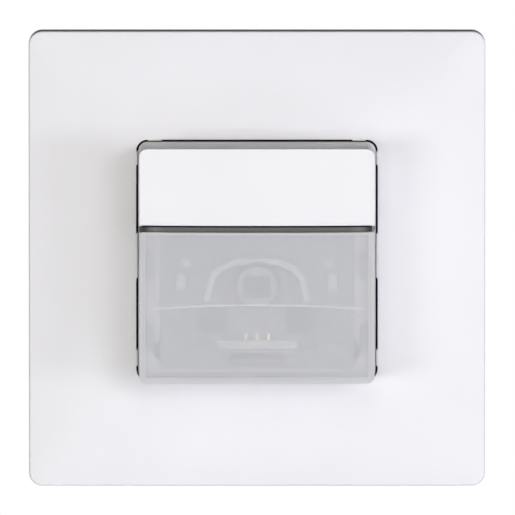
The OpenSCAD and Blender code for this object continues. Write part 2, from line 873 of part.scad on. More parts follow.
module pir_can() {
    header_top_d = board_front_d + pir_air + pir_header_t;
    color([0.78, 0.78, 0.77])
    difference() {
        rod(0, pir_z, pir_r, header_top_d, pir_top_d);
        rod(0, pir_z, pir_r - pir_sheet, header_top_d - cut, pir_top_d - pir_sheet);
        block_at(0, pir_z, pir_window_w - 2 * pir_window_lip, pir_window_h - 2 * pir_window_lip,
            pir_top_d - pir_sheet - cut, pir_top_d + cut);
    }
}

module pir_window() {
    window_d = pir_top_d - pir_sheet;
    color([0.3, 0.3, 0.32])
        block_at(0, pir_z, pir_window_w, pir_window_h, window_d - pir_window_t, window_d);
}

// Whole outline from one side of it
function both_sides(side) = concat(
    [for (i = [len(side) - 1 : -1 : 0]) [-side[i].x, side[i].y]],
    [for (p = side) if (p.x > 0) p]);

module sensor_visor() {
    below_foot = [[visor_x, visor_foot_z - 2 * visor_wall]];
    color([0.95, 0.95, 0.93])
    layer(board_front_d, board_front_d + visor_h)
        translate([0, pir_z])
            difference() {
                polygon(both_sides(visor_side));
                circle(pir_r + pir_brim + visor_gap);
                offset(delta = -visor_wall) polygon(both_sides(concat(visor_side, below_foot)));
            }
}

// Flat piece on the front of the sensor board, placed from the sensor's middle
module on_board(at, size) {
    block_at(at.x, pir_z + at.y, size.x, size.y, board_front_d, board_front_d + size.z);
}

module light_sensors() {
    color([0.92, 0.92, 0.9])
        for (side = [-1, 1]) on_board(from_edge(side, light_sensor_inset), light_sensor_size);
}

module indicator_leds() {
    color([0.95, 0.93, 0.8])
        for (side = [-1, 1]) on_board([side * led_x, bar_mid_z - pir_z], led_size);
}

module board_clips() {
    color([0.93, 0.93, 0.9])
        for (side = [-1, 1]) {
            clip_stem(side, clip_size.x, clip_stem_h, floor_d, board_front_d + slice);
            on_board(from_edge(side, clip_inset), clip_size);
        }
}

module controller_chip() {
    color([0.2, 0.2, 0.21]) on_board(from_edge(-1, controller_inset), controller_size);
}

module amplifier_chip() {
    color([0.2, 0.2, 0.21]) on_board(from_edge(1, amplifier_inset), amplifier_size);
}

module lower_baffle() {
    above_mouth = [[baffle_x, baffle_top + 2 * baffle_wall]];
    color([0.88, 0.88, 0.87])
    layer(board_front_d, board_front_d + baffle_h)
        translate([0, pir_z])
            difference() {
                polygon(both_sides(baffle_side));
                offset(delta = -baffle_wall) polygon(both_sides(concat(above_mouth, baffle_side)));
            }
}

module program_header() {
    color([0.94, 0.94, 0.92]) on_board([0, program_header_z - pir_z], program_header_size);
}

module program_pins() {
    pin_dz = program_header_z - pir_z + (program_header_size.y + program_pin_size.y) / 2;
    color([0.8, 0.7, 0.4])
        for (i = [-1 : 1]) on_board([i * program_pin_pitch, pin_dz], program_pin_size);
}

module switch_body() {
    color([0.22, 0.22, 0.23])
    difference() {
        block_at(0, switch_z, switch_w, switch_w, board_front_d, switch_top_d);
        rod(0, switch_z, plunger_r + plunger_clearance, plunger_low_d - plunger_room, switch_top_d + cut);
    }
}

module switch_plunger() {
    color([0.9, 0.55, 0.2]) rod(0, switch_z, plunger_r, plunger_low_d, plunger_top_d);
}

module dial_bases() {
    color([0.25, 0.33, 0.55])
        for (x = [-dial_pitch / 2, dial_pitch / 2])
            difference() {
                block_at(x, dial_z, dial_base_w, dial_base_w, board_front_d, dial_base_top_d);
                rod(x, dial_z, spindle_r + spindle_clearance,
                    dial_base_top_d - spindle_in - dial_air, dial_base_top_d + cut);
            }
}

// Dial with a spindle, a driver slot and a pointer notch
module dial(x) {
    dial_low_d = dial_base_top_d + dial_air;
    dial_top_d = dial_low_d + dial_t;
    slot_depth = dial_t / 2;
    difference() {
        union() {
            rod(x, dial_z, dial_r, dial_low_d, dial_top_d);
            rod(x, dial_z, spindle_r, dial_base_top_d - spindle_in, dial_low_d + slice);
        }
        block_at(x, dial_z, driver_slot_w, 1.5 * dial_r, dial_top_d - slot_depth, dial_top_d + cut);
        block_at(x, dial_z + dial_r, driver_slot_w / 2, dial_r / 2,
            dial_top_d - slot_depth, dial_top_d + cut);
    }
}

module time_dial() {
    color([0.9, 0.9, 0.88]) dial(-dial_pitch / 2);
}

module brightness_dial() {
    color([0.9, 0.9, 0.88]) dial(dial_pitch / 2);
}

module board_socket() {
    color([0.15, 0.15, 0.16])
    difference() {
        block_at(0, plug_z, plug_l, plug_w, socket_low_d, board_back_d);
        at_pins() block_at(0, 0, pin_hole, pin_hole, socket_low_d - cut, pin_top_d + pin_air);
    }
}

module board_pins() {
    color([0.82, 0.72, 0.42])
        at_pins() block_at(0, 0, pin_w, pin_w, power_rear_d - pin_tail, pin_top_d);
}

module pin_strip() {
    color([0.15, 0.15, 0.16])
    difference() {
        block_at(0, plug_z, plug_l, plug_w, strip_low_d, strip_low_d + strip_t);
        at_pins() block_at(0, 0, pin_hole, pin_hole, strip_low_d - cut, strip_low_d + strip_t + cut);
    }
}

module mounting_plate() {
    color([0.7, 0.71, 0.73])
    difference() {
        layer(0, plate_t) round_rect(plate_w, plate_w, plate_corner_r);
        layer(-cut, plate_t + cut) {
            round_rect(plate_window, plate_window, plate_window_r);
            for (turn = [0 : 90 : 270])
                rotate(turn) translate([box_pitch / 2, 0]) slot(slot_l, slot_w);
        }
        at_screws() rod(0, 0, screw_r + screw_clearance, -cut, plate_t + cut);
    }
}

module frame_clips() {
    color([0.75, 0.75, 0.77])
        for (side = [0, 180], row = [-1, 1])
            rotate([0, side, 0])
                translate([0, 0, row * clip_pitch / 2]) {
                    block_at(plate_w / 2 - clip_pad_l / 2, 0, clip_pad_l, clip_w,
                        plate_t, plate_t + clip_sheet);
                    block(clip_leaf_x, plate_w / 2, -clip_w / 2, clip_w / 2, plate_t, clip_top_d);
                }
}

module base_housing() {
    board_post_z = power_half - post_r;
    color([0.9, 0.9, 0.9])
    difference() {
        union() {
            difference() {
                layer(base_rear_d, 0) base_outline();
                layer(base_rear_d - cut, base_front_d)
                    cut_square(2 * base_inner, inner_chamfer(base_wall));
            }
            at_screws() rod(0, 0, boss_r, base_rear_d, base_front_d + cut);
            for (side = [-1, 1], row = [-1, 1])
                rod(side * board_post_x, row * board_post_z, post_r, power_front_d, base_front_d + cut);
        }
        plug_gap(base_front_d - cut, cut);
        at_screws() {
            rod(0, 0, screw_r + thread_seat, -stack_screw_l - screw_room, cut);
            rod(0, 0, screw_r + thread_seat, base_rear_d - cut, base_rear_d + cover_screw_l + screw_room);
        }
    }
}

// Cone of a sunk screw head, widened by a clearance for its seat
module sunk_head(clearance) {
    translate([0, -cover_rear_d, 0]) rotate([90, 0, 0])
        cylinder(r1 = screw_head_r + clearance, r2 = screw_r + clearance, h = screw_head_r - screw_r);
}

module rear_cover() {
    lip_half = base_inner - cover_lip_fit;
    opening_w = terminal_count * terminal_pitch + 2 * terminal_fit;
    color([0.82, 0.82, 0.82])
    difference() {
        union() {
            layer(cover_rear_d, base_rear_d) base_outline();
            for (turn = [0 : 90 : 270])
                rotate([0, turn, 0])
                    block(lip_half - cover_lip_t, lip_half, -cover_lip_l / 2, cover_lip_l / 2,
                        base_rear_d - cut, base_rear_d + cover_lip_h);
        }
        block_at(0, terminal_mid_z, opening_w, terminal_h + 2 * terminal_fit,
            cover_rear_d - cut, base_rear_d + cut);
        at_screws() {
            rod(0, 0, screw_r + screw_clearance, cover_rear_d - cut, base_rear_d + cut);
            sunk_head(thread_seat);
        }
    }
}

module power_board() {
    color([0.2, 0.42, 0.25])
    difference() {
        layer(power_rear_d, power_front_d)
            cut_square(2 * power_half, inner_chamfer(base_wall + power_board_clearance));
        at_screws() rod(0, 0, boss_r + power_board_clearance, power_rear_d - cut, power_front_d + cut);
        at_pins() block_at(0, 0, pin_hole, pin_hole, power_rear_d - cut, power_front_d + cut);
    }
}

// Box-shaped mains part behind the power board
module mains_box(at, size) {
    block_at(at.x, at.y, size.x, size.y, power_rear_d - size.z, power_rear_d);
}

module relay() {
    color([0.2, 0.22, 0.26]) mains_box(relay_at, relay_size);
}

module film_capacitor() {
    color([0.85, 0.78, 0.3]) mains_box(film_capacitor_at, film_capacitor_size);
}

module smoothing_capacitor() {
    color([0.12, 0.16, 0.3])
        rod(smoothing_capacitor_x, smoothing_capacitor_z, smoothing_capacitor_r,
            power_rear_d - smoothing_capacitor_l, power_rear_d);
}

module varistor() {
    disc_d = power_rear_d - part_air - varistor_r;
    color([0.2, 0.4, 0.7]) {
        cross_rod(varistor_x - varistor_t / 2, varistor_x + varistor_t / 2, varistor_z, disc_d, varistor_r);
        for (side = [-1, 1])
            block_at(varistor_x, varistor_z + side * varistor_lead_pitch / 2,
                varistor_lead.x, varistor_lead.y, disc_d, power_rear_d);
    }
}

module fuse() {
    tube_d = power_rear_d - part_air - fuse_r;
    color([0.8, 0.8, 0.78]) {
        cross_rod(fuse_at.x - fuse_l / 2, fuse_at.x + fuse_l / 2, fuse_at.y, tube_d, fuse_r);
        for (side = [-1, 1])
            block_at(fuse_at.x + side * (fuse_l / 2 - fuse_lead_w), fuse_at.y, fuse_lead_w, fuse_lead_w,
                tube_d, power_rear_d);
    }
}

module transformer() {
    color([0.3, 0.28, 0.26]) {
        mains_box(transformer_at, transformer_core);
        mains_box(transformer_at, transformer_coil);
    }
}

module terminal_poles() {
    color([0.35, 0.36, 0.38])
        at_terminals()
            difference() {
                block_at(0, terminal_mid_z, terminal_w, terminal_h, terminal_rear_d, power_rear_d);
                rod(0, wire_z, wire_r, terminal_rear_d - cut, chamber_rear_d + cut);
                block_at(0, release_z, release_w, release_h, terminal_rear_d - cut, chamber_rear_d + cut);
                block(-chamber_w / 2, chamber_w / 2, chamber_low_z, chamber_top_z,
                    chamber_rear_d, chamber_front_d);
            }
}

module terminal_springs() {
    foot_d = chamber_front_d - spring_foot_air;
    tip_d = chamber_rear_d + spring_tip_air;
    half = chamber_w / 2;
    color([0.75, 0.76, 0.78])
        at_terminals() {
            block(-half, half, chamber_low_z, chamber_low_z + spring_sheet, tip_d, foot_d);
            block(-half, half, chamber_low_z, wire_z - wire_r, foot_d - spring_sheet, foot_d);
        }
}

module terminal_contacts() {
    color([0.8, 0.5, 0.3])
        at_terminals()
            block(-chamber_w / 2, chamber_w / 2, chamber_top_z - contact_t, chamber_top_z,
                chamber_rear_d, chamber_front_d);
}

// Cross recess of a screw head
module cross_recess(d0, d1) {
    for (turn = [0, 90]) rotate([0, turn, 0]) block_at(0, 0, cross_slot.x, cross_slot.y, d0, d1);
}

module stack_screws() {
    slot_depth = screw_head_h / 2;
    color([0.68, 0.68, 0.7])
        at_screws()
            difference() {
                union() {
                    rod(0, 0, screw_head_r, floor_d, floor_d + screw_head_h);
                    rod(0, 0, screw_r, -stack_screw_l, floor_d + slice);
                }
                cross_recess(floor_d + slot_depth, floor_d + screw_head_h + cut);
            }
}

module cover_screws() {
    head_h = screw_head_r - screw_r;
    color([0.68, 0.68, 0.7])
        at_screws()
            difference() {
                union() {
                    sunk_head(0);
                    rod(0, 0, screw_r, cover_rear_d + head_h - slice, base_rear_d + cover_screw_l);
                }
                cross_recess(cover_rear_d - cut, cover_rear_d + head_h / 2);
            }
}

cover_frame();
push_button();
light_bar();
fresnel_lens();
head_carrier();
hinge_pin();
sensor_board();
pir_header();
pir_element();
pir_can();
pir_window();
sensor_visor();
light_sensors();
indicator_leds();
board_clips();
controller_chip();
amplifier_chip();
lower_baffle();
program_header();
program_pins();
switch_body();
switch_plunger();
dial_bases();
time_dial();
brightness_dial();
board_socket();
board_pins();
pin_strip();
mounting_plate();
frame_clips();
base_housing();
rear_cover();
power_board();
relay();
film_capacitor();
smoothing_capacitor();
varistor();
fuse();
transformer();
terminal_poles();
terminal_springs();
terminal_contacts();
stack_screws();
cover_screws();
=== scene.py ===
# %% [markdown]
# # A motion sensor light switch
# The object is a square cover frame round a raised sensor head: a push button above, a smoked light bar
# and a milky lens below. The working parts are already built to size and come in as a fixed frame.
# This lesson keeps every size and gives the pieces their looks: smooth mouldings in place of faceted
# ones, a finish for every surface, studio light and a camera.

# %% Load the frame
import json
import math

import bmesh
import bpy
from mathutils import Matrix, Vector


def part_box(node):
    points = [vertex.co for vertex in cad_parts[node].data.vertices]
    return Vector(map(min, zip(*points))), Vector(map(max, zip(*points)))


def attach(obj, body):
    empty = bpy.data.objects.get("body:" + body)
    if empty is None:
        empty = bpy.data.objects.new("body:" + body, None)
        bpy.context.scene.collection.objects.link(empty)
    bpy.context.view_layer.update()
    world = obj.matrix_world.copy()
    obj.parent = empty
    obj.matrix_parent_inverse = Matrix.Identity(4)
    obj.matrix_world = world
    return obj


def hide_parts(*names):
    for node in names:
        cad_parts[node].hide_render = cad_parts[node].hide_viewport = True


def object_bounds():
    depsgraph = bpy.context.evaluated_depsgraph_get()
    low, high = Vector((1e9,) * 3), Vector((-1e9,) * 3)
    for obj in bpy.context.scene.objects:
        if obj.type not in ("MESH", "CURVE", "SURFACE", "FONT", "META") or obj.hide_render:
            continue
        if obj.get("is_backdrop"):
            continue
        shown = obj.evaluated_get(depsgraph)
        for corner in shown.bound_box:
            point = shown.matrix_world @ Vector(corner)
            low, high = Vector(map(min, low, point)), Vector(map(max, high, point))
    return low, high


MM = 0.001
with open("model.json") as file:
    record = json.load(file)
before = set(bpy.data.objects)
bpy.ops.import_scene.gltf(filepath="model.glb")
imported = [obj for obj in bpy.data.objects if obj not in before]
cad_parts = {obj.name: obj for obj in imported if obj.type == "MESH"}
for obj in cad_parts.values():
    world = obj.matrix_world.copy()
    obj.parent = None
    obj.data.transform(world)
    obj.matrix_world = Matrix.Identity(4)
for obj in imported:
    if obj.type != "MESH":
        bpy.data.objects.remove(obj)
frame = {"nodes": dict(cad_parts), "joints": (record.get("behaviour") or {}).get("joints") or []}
cad_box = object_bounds()
nodes = frame["nodes"]
print("nodes in the frame:", len(nodes))
print("size in mm:", [round((high - low) / MM, 1) for low, high in zip(*cad_box)])

# %% [markdown]
# ## Outlines
# Every moulding at the front is a rounded rectangle that changes a little from its back to its front.
# It could be cut from a block with booleans, but that leaves thin triangles that shade badly. Here each
# piece is a row of rings with the same number of points, so that its round edges are real geometry.
# A ring is drawn flat, as x and z, and then set at its depth in front of the wall.


# %% Rings of points
def soft_rectangle(left, right, low, high, radii, corner_steps=8, side_steps=8):
    """Points round a rectangle, anticlockwise from its right side.

    The radii are those of the corners at right top, left top, left bottom and right bottom."""
    corners = [(right, high, -1, -1), (left, high, 1, -1), (left, low, 1, 1), (right, low, -1, 1)]
    arcs = []
    for turn, ((x, z, inward_x, inward_z), radius) in enumerate(zip(corners, radii)):
        arc = []
        for step in range(corner_steps + 1):
            angle = math.radians(90 * (turn + step / corner_steps))
            across = x + radius * (inward_x + math.cos(angle))
            up = z + radius * (inward_z + math.sin(angle))
            arc.append((across, up))
        arcs.append(arc)
    points = []
    for arc, following in zip(arcs, arcs[1:] + arcs[:1]):
        points.extend(arc)
        (x0, z0), (x1, z1) = arc[-1], following[0]
        for step in range(1, side_steps):
            share = step / side_steps
            points.append((x0 + (x1 - x0) * share, z0 + (z1 - z0) * share))
    return points


def quarter_round(radius, steps=6):
    """Inset and rise along a quarter circle, from the side of an edge to its face."""
    for step in range(steps + 1):
        angle = math.radians(90 * step / steps)
        yield radius * (1 - math.cos(angle)), radius * math.sin(angle)


def at_depth(x, z, depth):
    """Point of the object: depth counts from the wall plane towards the front, which is -Y."""
    return Vector((x, -depth, z))


def level_ring(ring, depth):
    """All points of a flat ring at one depth."""
    return [at_depth(x, z, depth) for x, z in ring]


def uneven_ring(ring, depths):
    """The points of a flat ring, each at its own depth."""
    return [at_depth(x, z, depth) for (x, z), depth in zip(ring, depths)]


sample_ring = soft_rectangle(-1, 1, -1, 1, [0.1] * 4)
print("points in a rounded rectangle:", len(sample_ring))

# %% [markdown]
# ## Skins
# Quads between neighbouring rings make them a closed piece with clean shading. A frame goes round an
# opening, so its last ring joins its first; a cap gets a face over each end instead. The small ribs and
# ears of a moulding are plain blocks that run into its wall, which is simpler than bending the rings.

# %% Skins and blocks
BLOCK_FACES = [(0, 1, 3, 2), (4, 6, 7, 5), (0, 4, 5, 1), (2, 3, 7, 6), (0, 2, 6, 4), (1, 5, 7, 3)]


def skin(mesh, rings, closed=False):
    """Quads between neighbouring rings; closed also joins the last ring to the first."""
    made = [[mesh.verts.new(point) for point in ring] for ring in rings]
    following_rings = made[1:] + made[:1] if closed else made[1:]
    for ring, following in zip(made, following_rings):
        for i in range(len(ring)):
            j = (i + 1) % len(ring)
            mesh.faces.new((ring[i], ring[j], following[j], following[i]))
    if not closed:
        mesh.faces.new(made[0])
        mesh.faces.new(made[-1])


def add_block(mesh, x_span, y_span, z_span):
    """Plain block that fills a span along each axis."""
    made = [mesh.verts.new((x, y, z)) for x in x_span for y in y_span for z in z_span]
    for face in BLOCK_FACES:
        mesh.faces.new([made[i] for i in face])


def add_side_blocks(mesh, near, far, y_span, z_span):
    """Two equal blocks, left and right, between two distances from the middle."""
    for side in (-1, 1):
        add_block(mesh, sorted((side * near, side * far)), y_span, z_span)


print("faces of a plain block:", len(BLOCK_FACES))

# %% [markdown]
# ## From rings to a piece
# A skinned mesh becomes a piece of the object when it rides on a body of the frame and stands for the
# node that it replaces. Shading is smooth everywhere except at folds, which are marked sharp, and a
# weighted-normal modifier keeps large flat faces flat right up to their round edges.

# %% Make a piece
SHARP_FOLD = math.radians(35)


def make_piece(name, mesh, finish, body, stands_for):
    """Turns a mesh into a piece that rides on a body and stands for a node."""
    bmesh.ops.recalc_face_normals(mesh, faces=mesh.faces)
    for face in mesh.faces:
        face.smooth = True
    for edge in mesh.edges:
        edge.smooth = edge.calc_face_angle(0) < SHARP_FOLD
    data = bpy.data.meshes.new(name)
    mesh.to_mesh(data)
    mesh.free()
    data.materials.append(finish)
    piece = bpy.data.objects.new(name, data)
    bpy.context.scene.collection.objects.link(piece)
    normals = piece.modifiers.new("flat faces", "WEIGHTED_NORMAL")
    normals.keep_sharp = True
    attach(piece, body)
    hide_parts(stands_for)
    print(name, "has", len(data.polygons), "faces and rides on", body)
    return piece


print("folds stay sharp from", round(math.degrees(SHARP_FOLD)), "degrees")

# %% [markdown]
# ## Building finishes from nodes
# A finish is a small node tree round one Principled shader. It could be put together by hand in the
# shader editor, but there are some forty of them here, and a script keeps them alike. A few helpers keep
# the trees short: one adds a node and connects it, one makes an empty finish, one drives its sockets.


# %% Node helpers
def add_node(tree, kind, inputs=None, **settings):
    """Adds a shader node; each input is a value or the output of another node."""
    made = tree.nodes.new("ShaderNode" + kind)
    for setting, value in settings.items():
        setattr(made, setting, value)
    for socket, value in (inputs or {}).items():
        if isinstance(value, bpy.types.NodeSocket):
            tree.links.new(value, made.inputs[socket])
        else:
            made.inputs[socket].default_value = value
    return made


def calculate(tree, operation, *values):
    """Result of a Math node on values or outputs of other nodes."""
    return add_node(tree, "Math", dict(enumerate(values)), operation=operation).outputs["Value"]


def place_on_piece(tree):
    """Place of a surface point in the piece's own axes, in metres."""
    return add_node(tree, "TexCoord").outputs["Object"]


def new_finish(name, **sockets):
    """Empty finish with constants on its shader's own sockets; underscores stand for spaces."""
    material = bpy.data.materials.new(name)
    material.use_nodes = True
    shader = material.node_tree.nodes["Principled BSDF"]
    for socket, value in sockets.items():
        shader.inputs[socket.replace("_", " ")].default_value = value
    return material, material.node_tree, shader


def drive(shader, **outputs):
    """Connects outputs of other nodes to a shader's sockets; underscores stand for spaces."""
    for socket, output in outputs.items():
        shader.id_data.links.new(output, shader.inputs[socket.replace("_", " ")])


print("materials that came with the frame:", len(bpy.data.materials))

# %% [markdown]
# ## Grain, tints and relief
# Every real surface varies a little, and noise is the simplest way to show it without an image. The noise
# is fixed to the piece and its size is given in millimetres, so a grain of 0.3 mm looks the same on every
# piece. The other helpers turn a noise into a colour, a roughness or a shallow relief.

# %% Surface helpers
NOISE_RANGE = (0.3, 0.7)
FINE_RELIEF = 0.002


def grain(tree, size, detail=3, stretch=(1, 1, 1)):
    """Noise with features of about that size in mm, drawn out along an axis where stretch is small."""
    stretched = add_node(tree, "Mapping", {"Vector": place_on_piece(tree), "Scale": stretch})
    inputs = {"Vector": stretched.outputs["Vector"], "Scale": 1 / (size * MM), "Detail": detail}
    return add_node(tree, "TexNoise", inputs).outputs["Fac"]


def ramp(tree, value, stops):
    """Colour for a value from 0 to 1, from (position, colour) stops."""
    made = add_node(tree, "ValToRGB", {"Fac": value})
    elements = made.color_ramp.elements
    while len(elements) < len(stops):
        elements.new(0.5)
    for element, (position, colour) in zip(elements, stops):
        element.position = position
        element.color = (*colour[:3], 1)
    return made.outputs["Color"]


def shade(colour, share):
    """The same colour, darker or lighter."""
    return tuple(min(1, part * share) for part in colour)


def tinted(tree, noise, colour, darkest, noise_range=NOISE_RANGE):
    """A colour that falls to its darkest share where the noise is low."""
    low, high = noise_range
    return ramp(tree, noise, [(low, shade(colour, darkest)), (high, colour)])


def spread(tree, value, low, high, value_range=NOISE_RANGE):
    """Carries a range of values over to low and high."""
    limits = {"From Min": value_range[0], "From Max": value_range[1], "To Min": low, "To Max": high}
    return add_node(tree, "MapRange", {"Value": value, **limits}).outputs["Result"]


def relief(tree, shader, height, depth):
    """Bumps of that depth in mm on a shader."""
    bump = add_node(tree, "Bump", {"Height": height, "Distance": depth * MM, "Strength": 1})
    drive(shader, Normal=bump.outputs["Normal"])


print("usual range of a noise:", NOISE_RANGE)

# %% [markdown]
# ## Moulded plastic
# Most of the switch is injection-moulded plastic with a fine spark-eroded grain. A photographed grain
# would have to be unwrapped onto every piece, and noise needs no unwrapping. It is about a quarter of a
# millimetre fine and drives a shallow bump and the roughness together, and a much larger noise lets the
# colour drift by two percent, as on a real moulding.

# %% Plastic finishes
CLOUD_SIZE = 22
CLOUD_RANGE = (0.35, 0.65)
COLOUR_DRIFT = 0.02
PLASTIC_SWING = 0.06


def moulded_plastic(name, colour, roughness=0.5, grain_size=0.25, grain_depth=0.004, shine=0.3):
    """Plastic with a fine grain; the grain's size and depth are in mm."""
    material, tree, shader = new_finish(name, Specular_IOR_Level=shine)
    clouds = grain(tree, CLOUD_SIZE, detail=2)
    pits = grain(tree, grain_size)
    tint = tinted(tree, clouds, colour, 1 - COLOUR_DRIFT, CLOUD_RANGE)
    matt = spread(tree, pits, roughness - PLASTIC_SWING, roughness + PLASTIC_SWING)
    drive(shader, Base_Color=tint, Roughness=matt)
    relief(tree, shader, pits, grain_depth)
    return material


frame_white = moulded_plastic("frame_white", (0.88, 0.876, 0.9), roughness=0.8, shine=0)
button_white = moulded_plastic("button_white", (0.885, 0.88, 0.9), roughness=0.7, shine=0.1)
print("finishes of the front:", frame_white.name, "and", button_white.name)

# %% [markdown]
# ## Milky plastic
# The lens is a thin wall of frosted, milky plastic: heat passes it, and the sensor behind it shows only
# faintly. A refracting material would hide the inside or fill it with noise, so each of the wall's two
# surfaces lets through part of the light instead. The wall is seen edge-on at its front rim and is
# thicker at the rib across it, so these let through less. The rim's colour is also darkened as painted
# shade, and the rib's lightened as painted light for its fine pale line.

# %% Lens finishes
LENS_COLOUR = (0.75, 0.76, 0.79)
LENS_COVER = 0.45
RIB_COVER = 0.9
# Paler copy of the lens colour for the rib: painted light.
RIB_PAINTED_LIGHT = 1.27
RIM_COVER = 0.85
# Darker copy of the lens colour for the front rim: painted shade.
RIM_PAINTED_SHADE = 0.805
HAZE_SIZE = 9
HAZE_SHADE = 0.985
FROST_SIZE = 0.12
FROST_ROUGHNESS = (0.4, 0.5)


def milky_plastic(name, colour, cover):
    """Frosted plastic; each surface covers that share of what lies behind it."""
    material, tree, shader = new_finish(name, Alpha=cover, Specular_IOR_Level=0.25)
    haze = grain(tree, HAZE_SIZE)
    frost = grain(tree, FROST_SIZE)
    tint = tinted(tree, haze, colour, HAZE_SHADE, CLOUD_RANGE)
    drive(shader, Base_Color=tint, Roughness=spread(tree, frost, *FROST_ROUGHNESS))
    relief(tree, shader, frost, FINE_RELIEF)
    return material


lens_grey = milky_plastic("lens_grey", LENS_COLOUR, LENS_COVER)
lens_rib_painted_light = milky_plastic("lens_rib_painted_light", shade(LENS_COLOUR, RIB_PAINTED_LIGHT), RIB_COVER)
lens_rim_painted_shade = milky_plastic("lens_rim_painted_shade", shade(LENS_COLOUR, RIM_PAINTED_SHADE), RIM_COVER)
print("the lens covers", LENS_COVER, "at each of its two surfaces")

# %% [markdown]
# ## Smoked plastic
# The light bar is smoked plastic that looks nearly black while its lamps are off. Its ends are darker,
# as painted shade in the corners of the gap, and it is a little lighter over the two lamps. It could be
# painted as an image, but a colour ramp along its length says the same in five stops and stays sharp
# at any distance.

# %% Light bar finish
SMOKED_COLOUR = (0.125, 0.128, 0.114)
# Painted shade at the bar's ends, in the corners of the gap.
SMOKED_END_SHADE = (0.04, 0.04, 0.036)
SMOKED_LAMP = (0.17, 0.175, 0.158)
LAMP_PLACE = 19.5 * MM
LAMP_INNER = 0.08
LAMP_OUTER = 0.05
END_SHADE_SHARE = 0.97
STREAK_SIZE = 0.2
STREAK_STRETCH = (0.1, 1, 1)
STREAK_ROUGHNESS = (0.4, 0.52)


def smoked_plastic(name, half_length):
    """Smoked bar whose colour changes from its middle to both ends, where it darkens as painted shade."""
    material, tree, shader = new_finish(name, Specular_IOR_Level=0.12)
    separate = add_node(tree, "SeparateXYZ", {"Vector": place_on_piece(tree)})
    from_middle = calculate(tree, "ABSOLUTE", separate.outputs["X"])
    share = calculate(tree, "DIVIDE", from_middle, half_length)
    lamp = LAMP_PLACE / half_length
    stops = [
        (0, SMOKED_COLOUR),
        (lamp - LAMP_INNER, SMOKED_COLOUR),
        (lamp, SMOKED_LAMP),
        (lamp + LAMP_OUTER, SMOKED_COLOUR),
        (END_SHADE_SHARE, SMOKED_END_SHADE),
    ]
    streaks = grain(tree, STREAK_SIZE, stretch=STREAK_STRETCH)
    drive(shader, Base_Color=ramp(tree, share, stops), Roughness=spread(tree, streaks, *STREAK_ROUGHNESS))
    relief(tree, shader, streaks, FINE_RELIEF)
    return material


bar_low, bar_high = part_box("light_bar")
smoked_bar = smoked_plastic("smoked_bar", bar_high.x)
print("half length of the light bar in mm:", round(bar_high.x / MM, 2))

# %% [markdown]
# ## Cover frame
# The frame is a shallow tray with a crowned face round a square opening. Small pads and two longer ribs
# in the opening almost touch the head and keep it central. They could be joined on with booleans, but
# here all rings share one plan of points, in which each point knows whether a pad stands there, so the
# pads are part of the opening's wall.

# %% Sizes of the frame
frame_low, frame_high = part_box("cover_frame")
lens_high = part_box("fresnel_lens")[1]
frame_half = frame_high.x
face_depth = -frame_low.y
face_crown = 2.2 * MM
skirt_depth = face_depth - face_crown
skirt_wall = 1.8 * MM
skirt_corner = 2.6 * MM
skirt_edge = 0.42 * MM
tray_depth = skirt_depth - skirt_wall
tower_half = lens_high.x
tower_gap = 0.4 * MM
opening_half = tower_half + tower_gap
opening_corner = 2.16 * MM
opening_edge = 0.12 * MM
collar_half = opening_half + skirt_wall
print("opening in mm:", round(2 * opening_half / MM, 2))

# %% Pads in the opening
LEVEL_SHARE = 0.75
pad_rise = 0.24 * MM
pad_drop = 0.06 * MM
pad_edge = 0.06 * MM
pad_slant = 0.1 * MM
upper_pad = (18.41 * MM, 20.95 * MM)
middle_rib = (-3.45 * MM, 5.05 * MM)
lower_pad = (-20.51 * MM, -17.41 * MM)


def mirrored(pads):
    """The same pads, seen from the other end of their side."""
    return [(-high, -low) for low, high in reversed(pads)]


def side_stops(pads, end, pitch=4 * MM):
    """Places along one side of the opening, each with whether a pad stands there."""
    marks = [(-end, False)]
    for low, high in pads:
        marks += [(low - pad_slant, False), (low, True), (high, True), (high + pad_slant, False)]
    marks.append((end, False))
    stops = []
    for (place, padded), (following, _) in zip(marks, marks[1:]):
        pieces = max(1, round((following - place) / pitch))
        stops += [(place + (following - place) * step / pieces, padded) for step in range(pieces)]
    return stops[1:]


straight_half = opening_half - opening_corner
right_pads = [lower_pad, middle_rib, upper_pad]
level_pads = mirrored([upper_pad]) + [upper_pad]
pads_of_sides = [level_pads, mirrored(right_pads), level_pads, right_pads]
side_plans = [side_stops(pads, straight_half) for pads in pads_of_sides]
print("opening in mm at the pads:", round(2 * (opening_half - pad_rise) / MM, 2))


# %% Plan of the frame's rings
def frame_ring(half, corner, pad=0, corner_steps=8):
    """Ring of the frame: a corner arc and the stops of one side, turned round the square."""
    centre = half - corner
    stretch = centre / straight_half
    ring = []
    for turn, stops in enumerate(side_plans):
        quarter = []
        for step in range(corner_steps + 1):
            angle = math.radians(90 * step / corner_steps)
            quarter.append((centre + corner * math.cos(angle), centre + corner * math.sin(angle)))
        rise = pad * LEVEL_SHARE if turn % 2 == 0 else pad
        for place, padded in stops:
            quarter.append((-place * stretch, half - (rise if padded else 0)))
        for _ in range(turn):
            quarter = [(-z, x) for x, z in quarter]
        ring += quarter
    return ring


def between_rings(ring, other, share):
    """Ring at a share of the way from one flat ring to another."""
    return [(x + (u - x) * share, z + (w - z) * share) for (x, z), (u, w) in zip(ring, other)]


print("points in a ring of the frame:", len(frame_ring(opening_half, opening_corner)))

# %% [markdown]
# ## Crowned face
# The face is highest at the opening and falls in a gentle curve to its outer edge, with soft mitres at
# the corners. Bevelled slopes would be flat and meet in hard lines, so the depth of each point comes
# from a formula of its place. The rings crowd near the opening, so that its edge stays crisp.


# %% Crown of the face
def crown(share):
    """Part of the crown's rise at a share of the way from the outer edge to the opening."""
    return face_crown * (1 - (1 - min(share, 1)) ** 2)


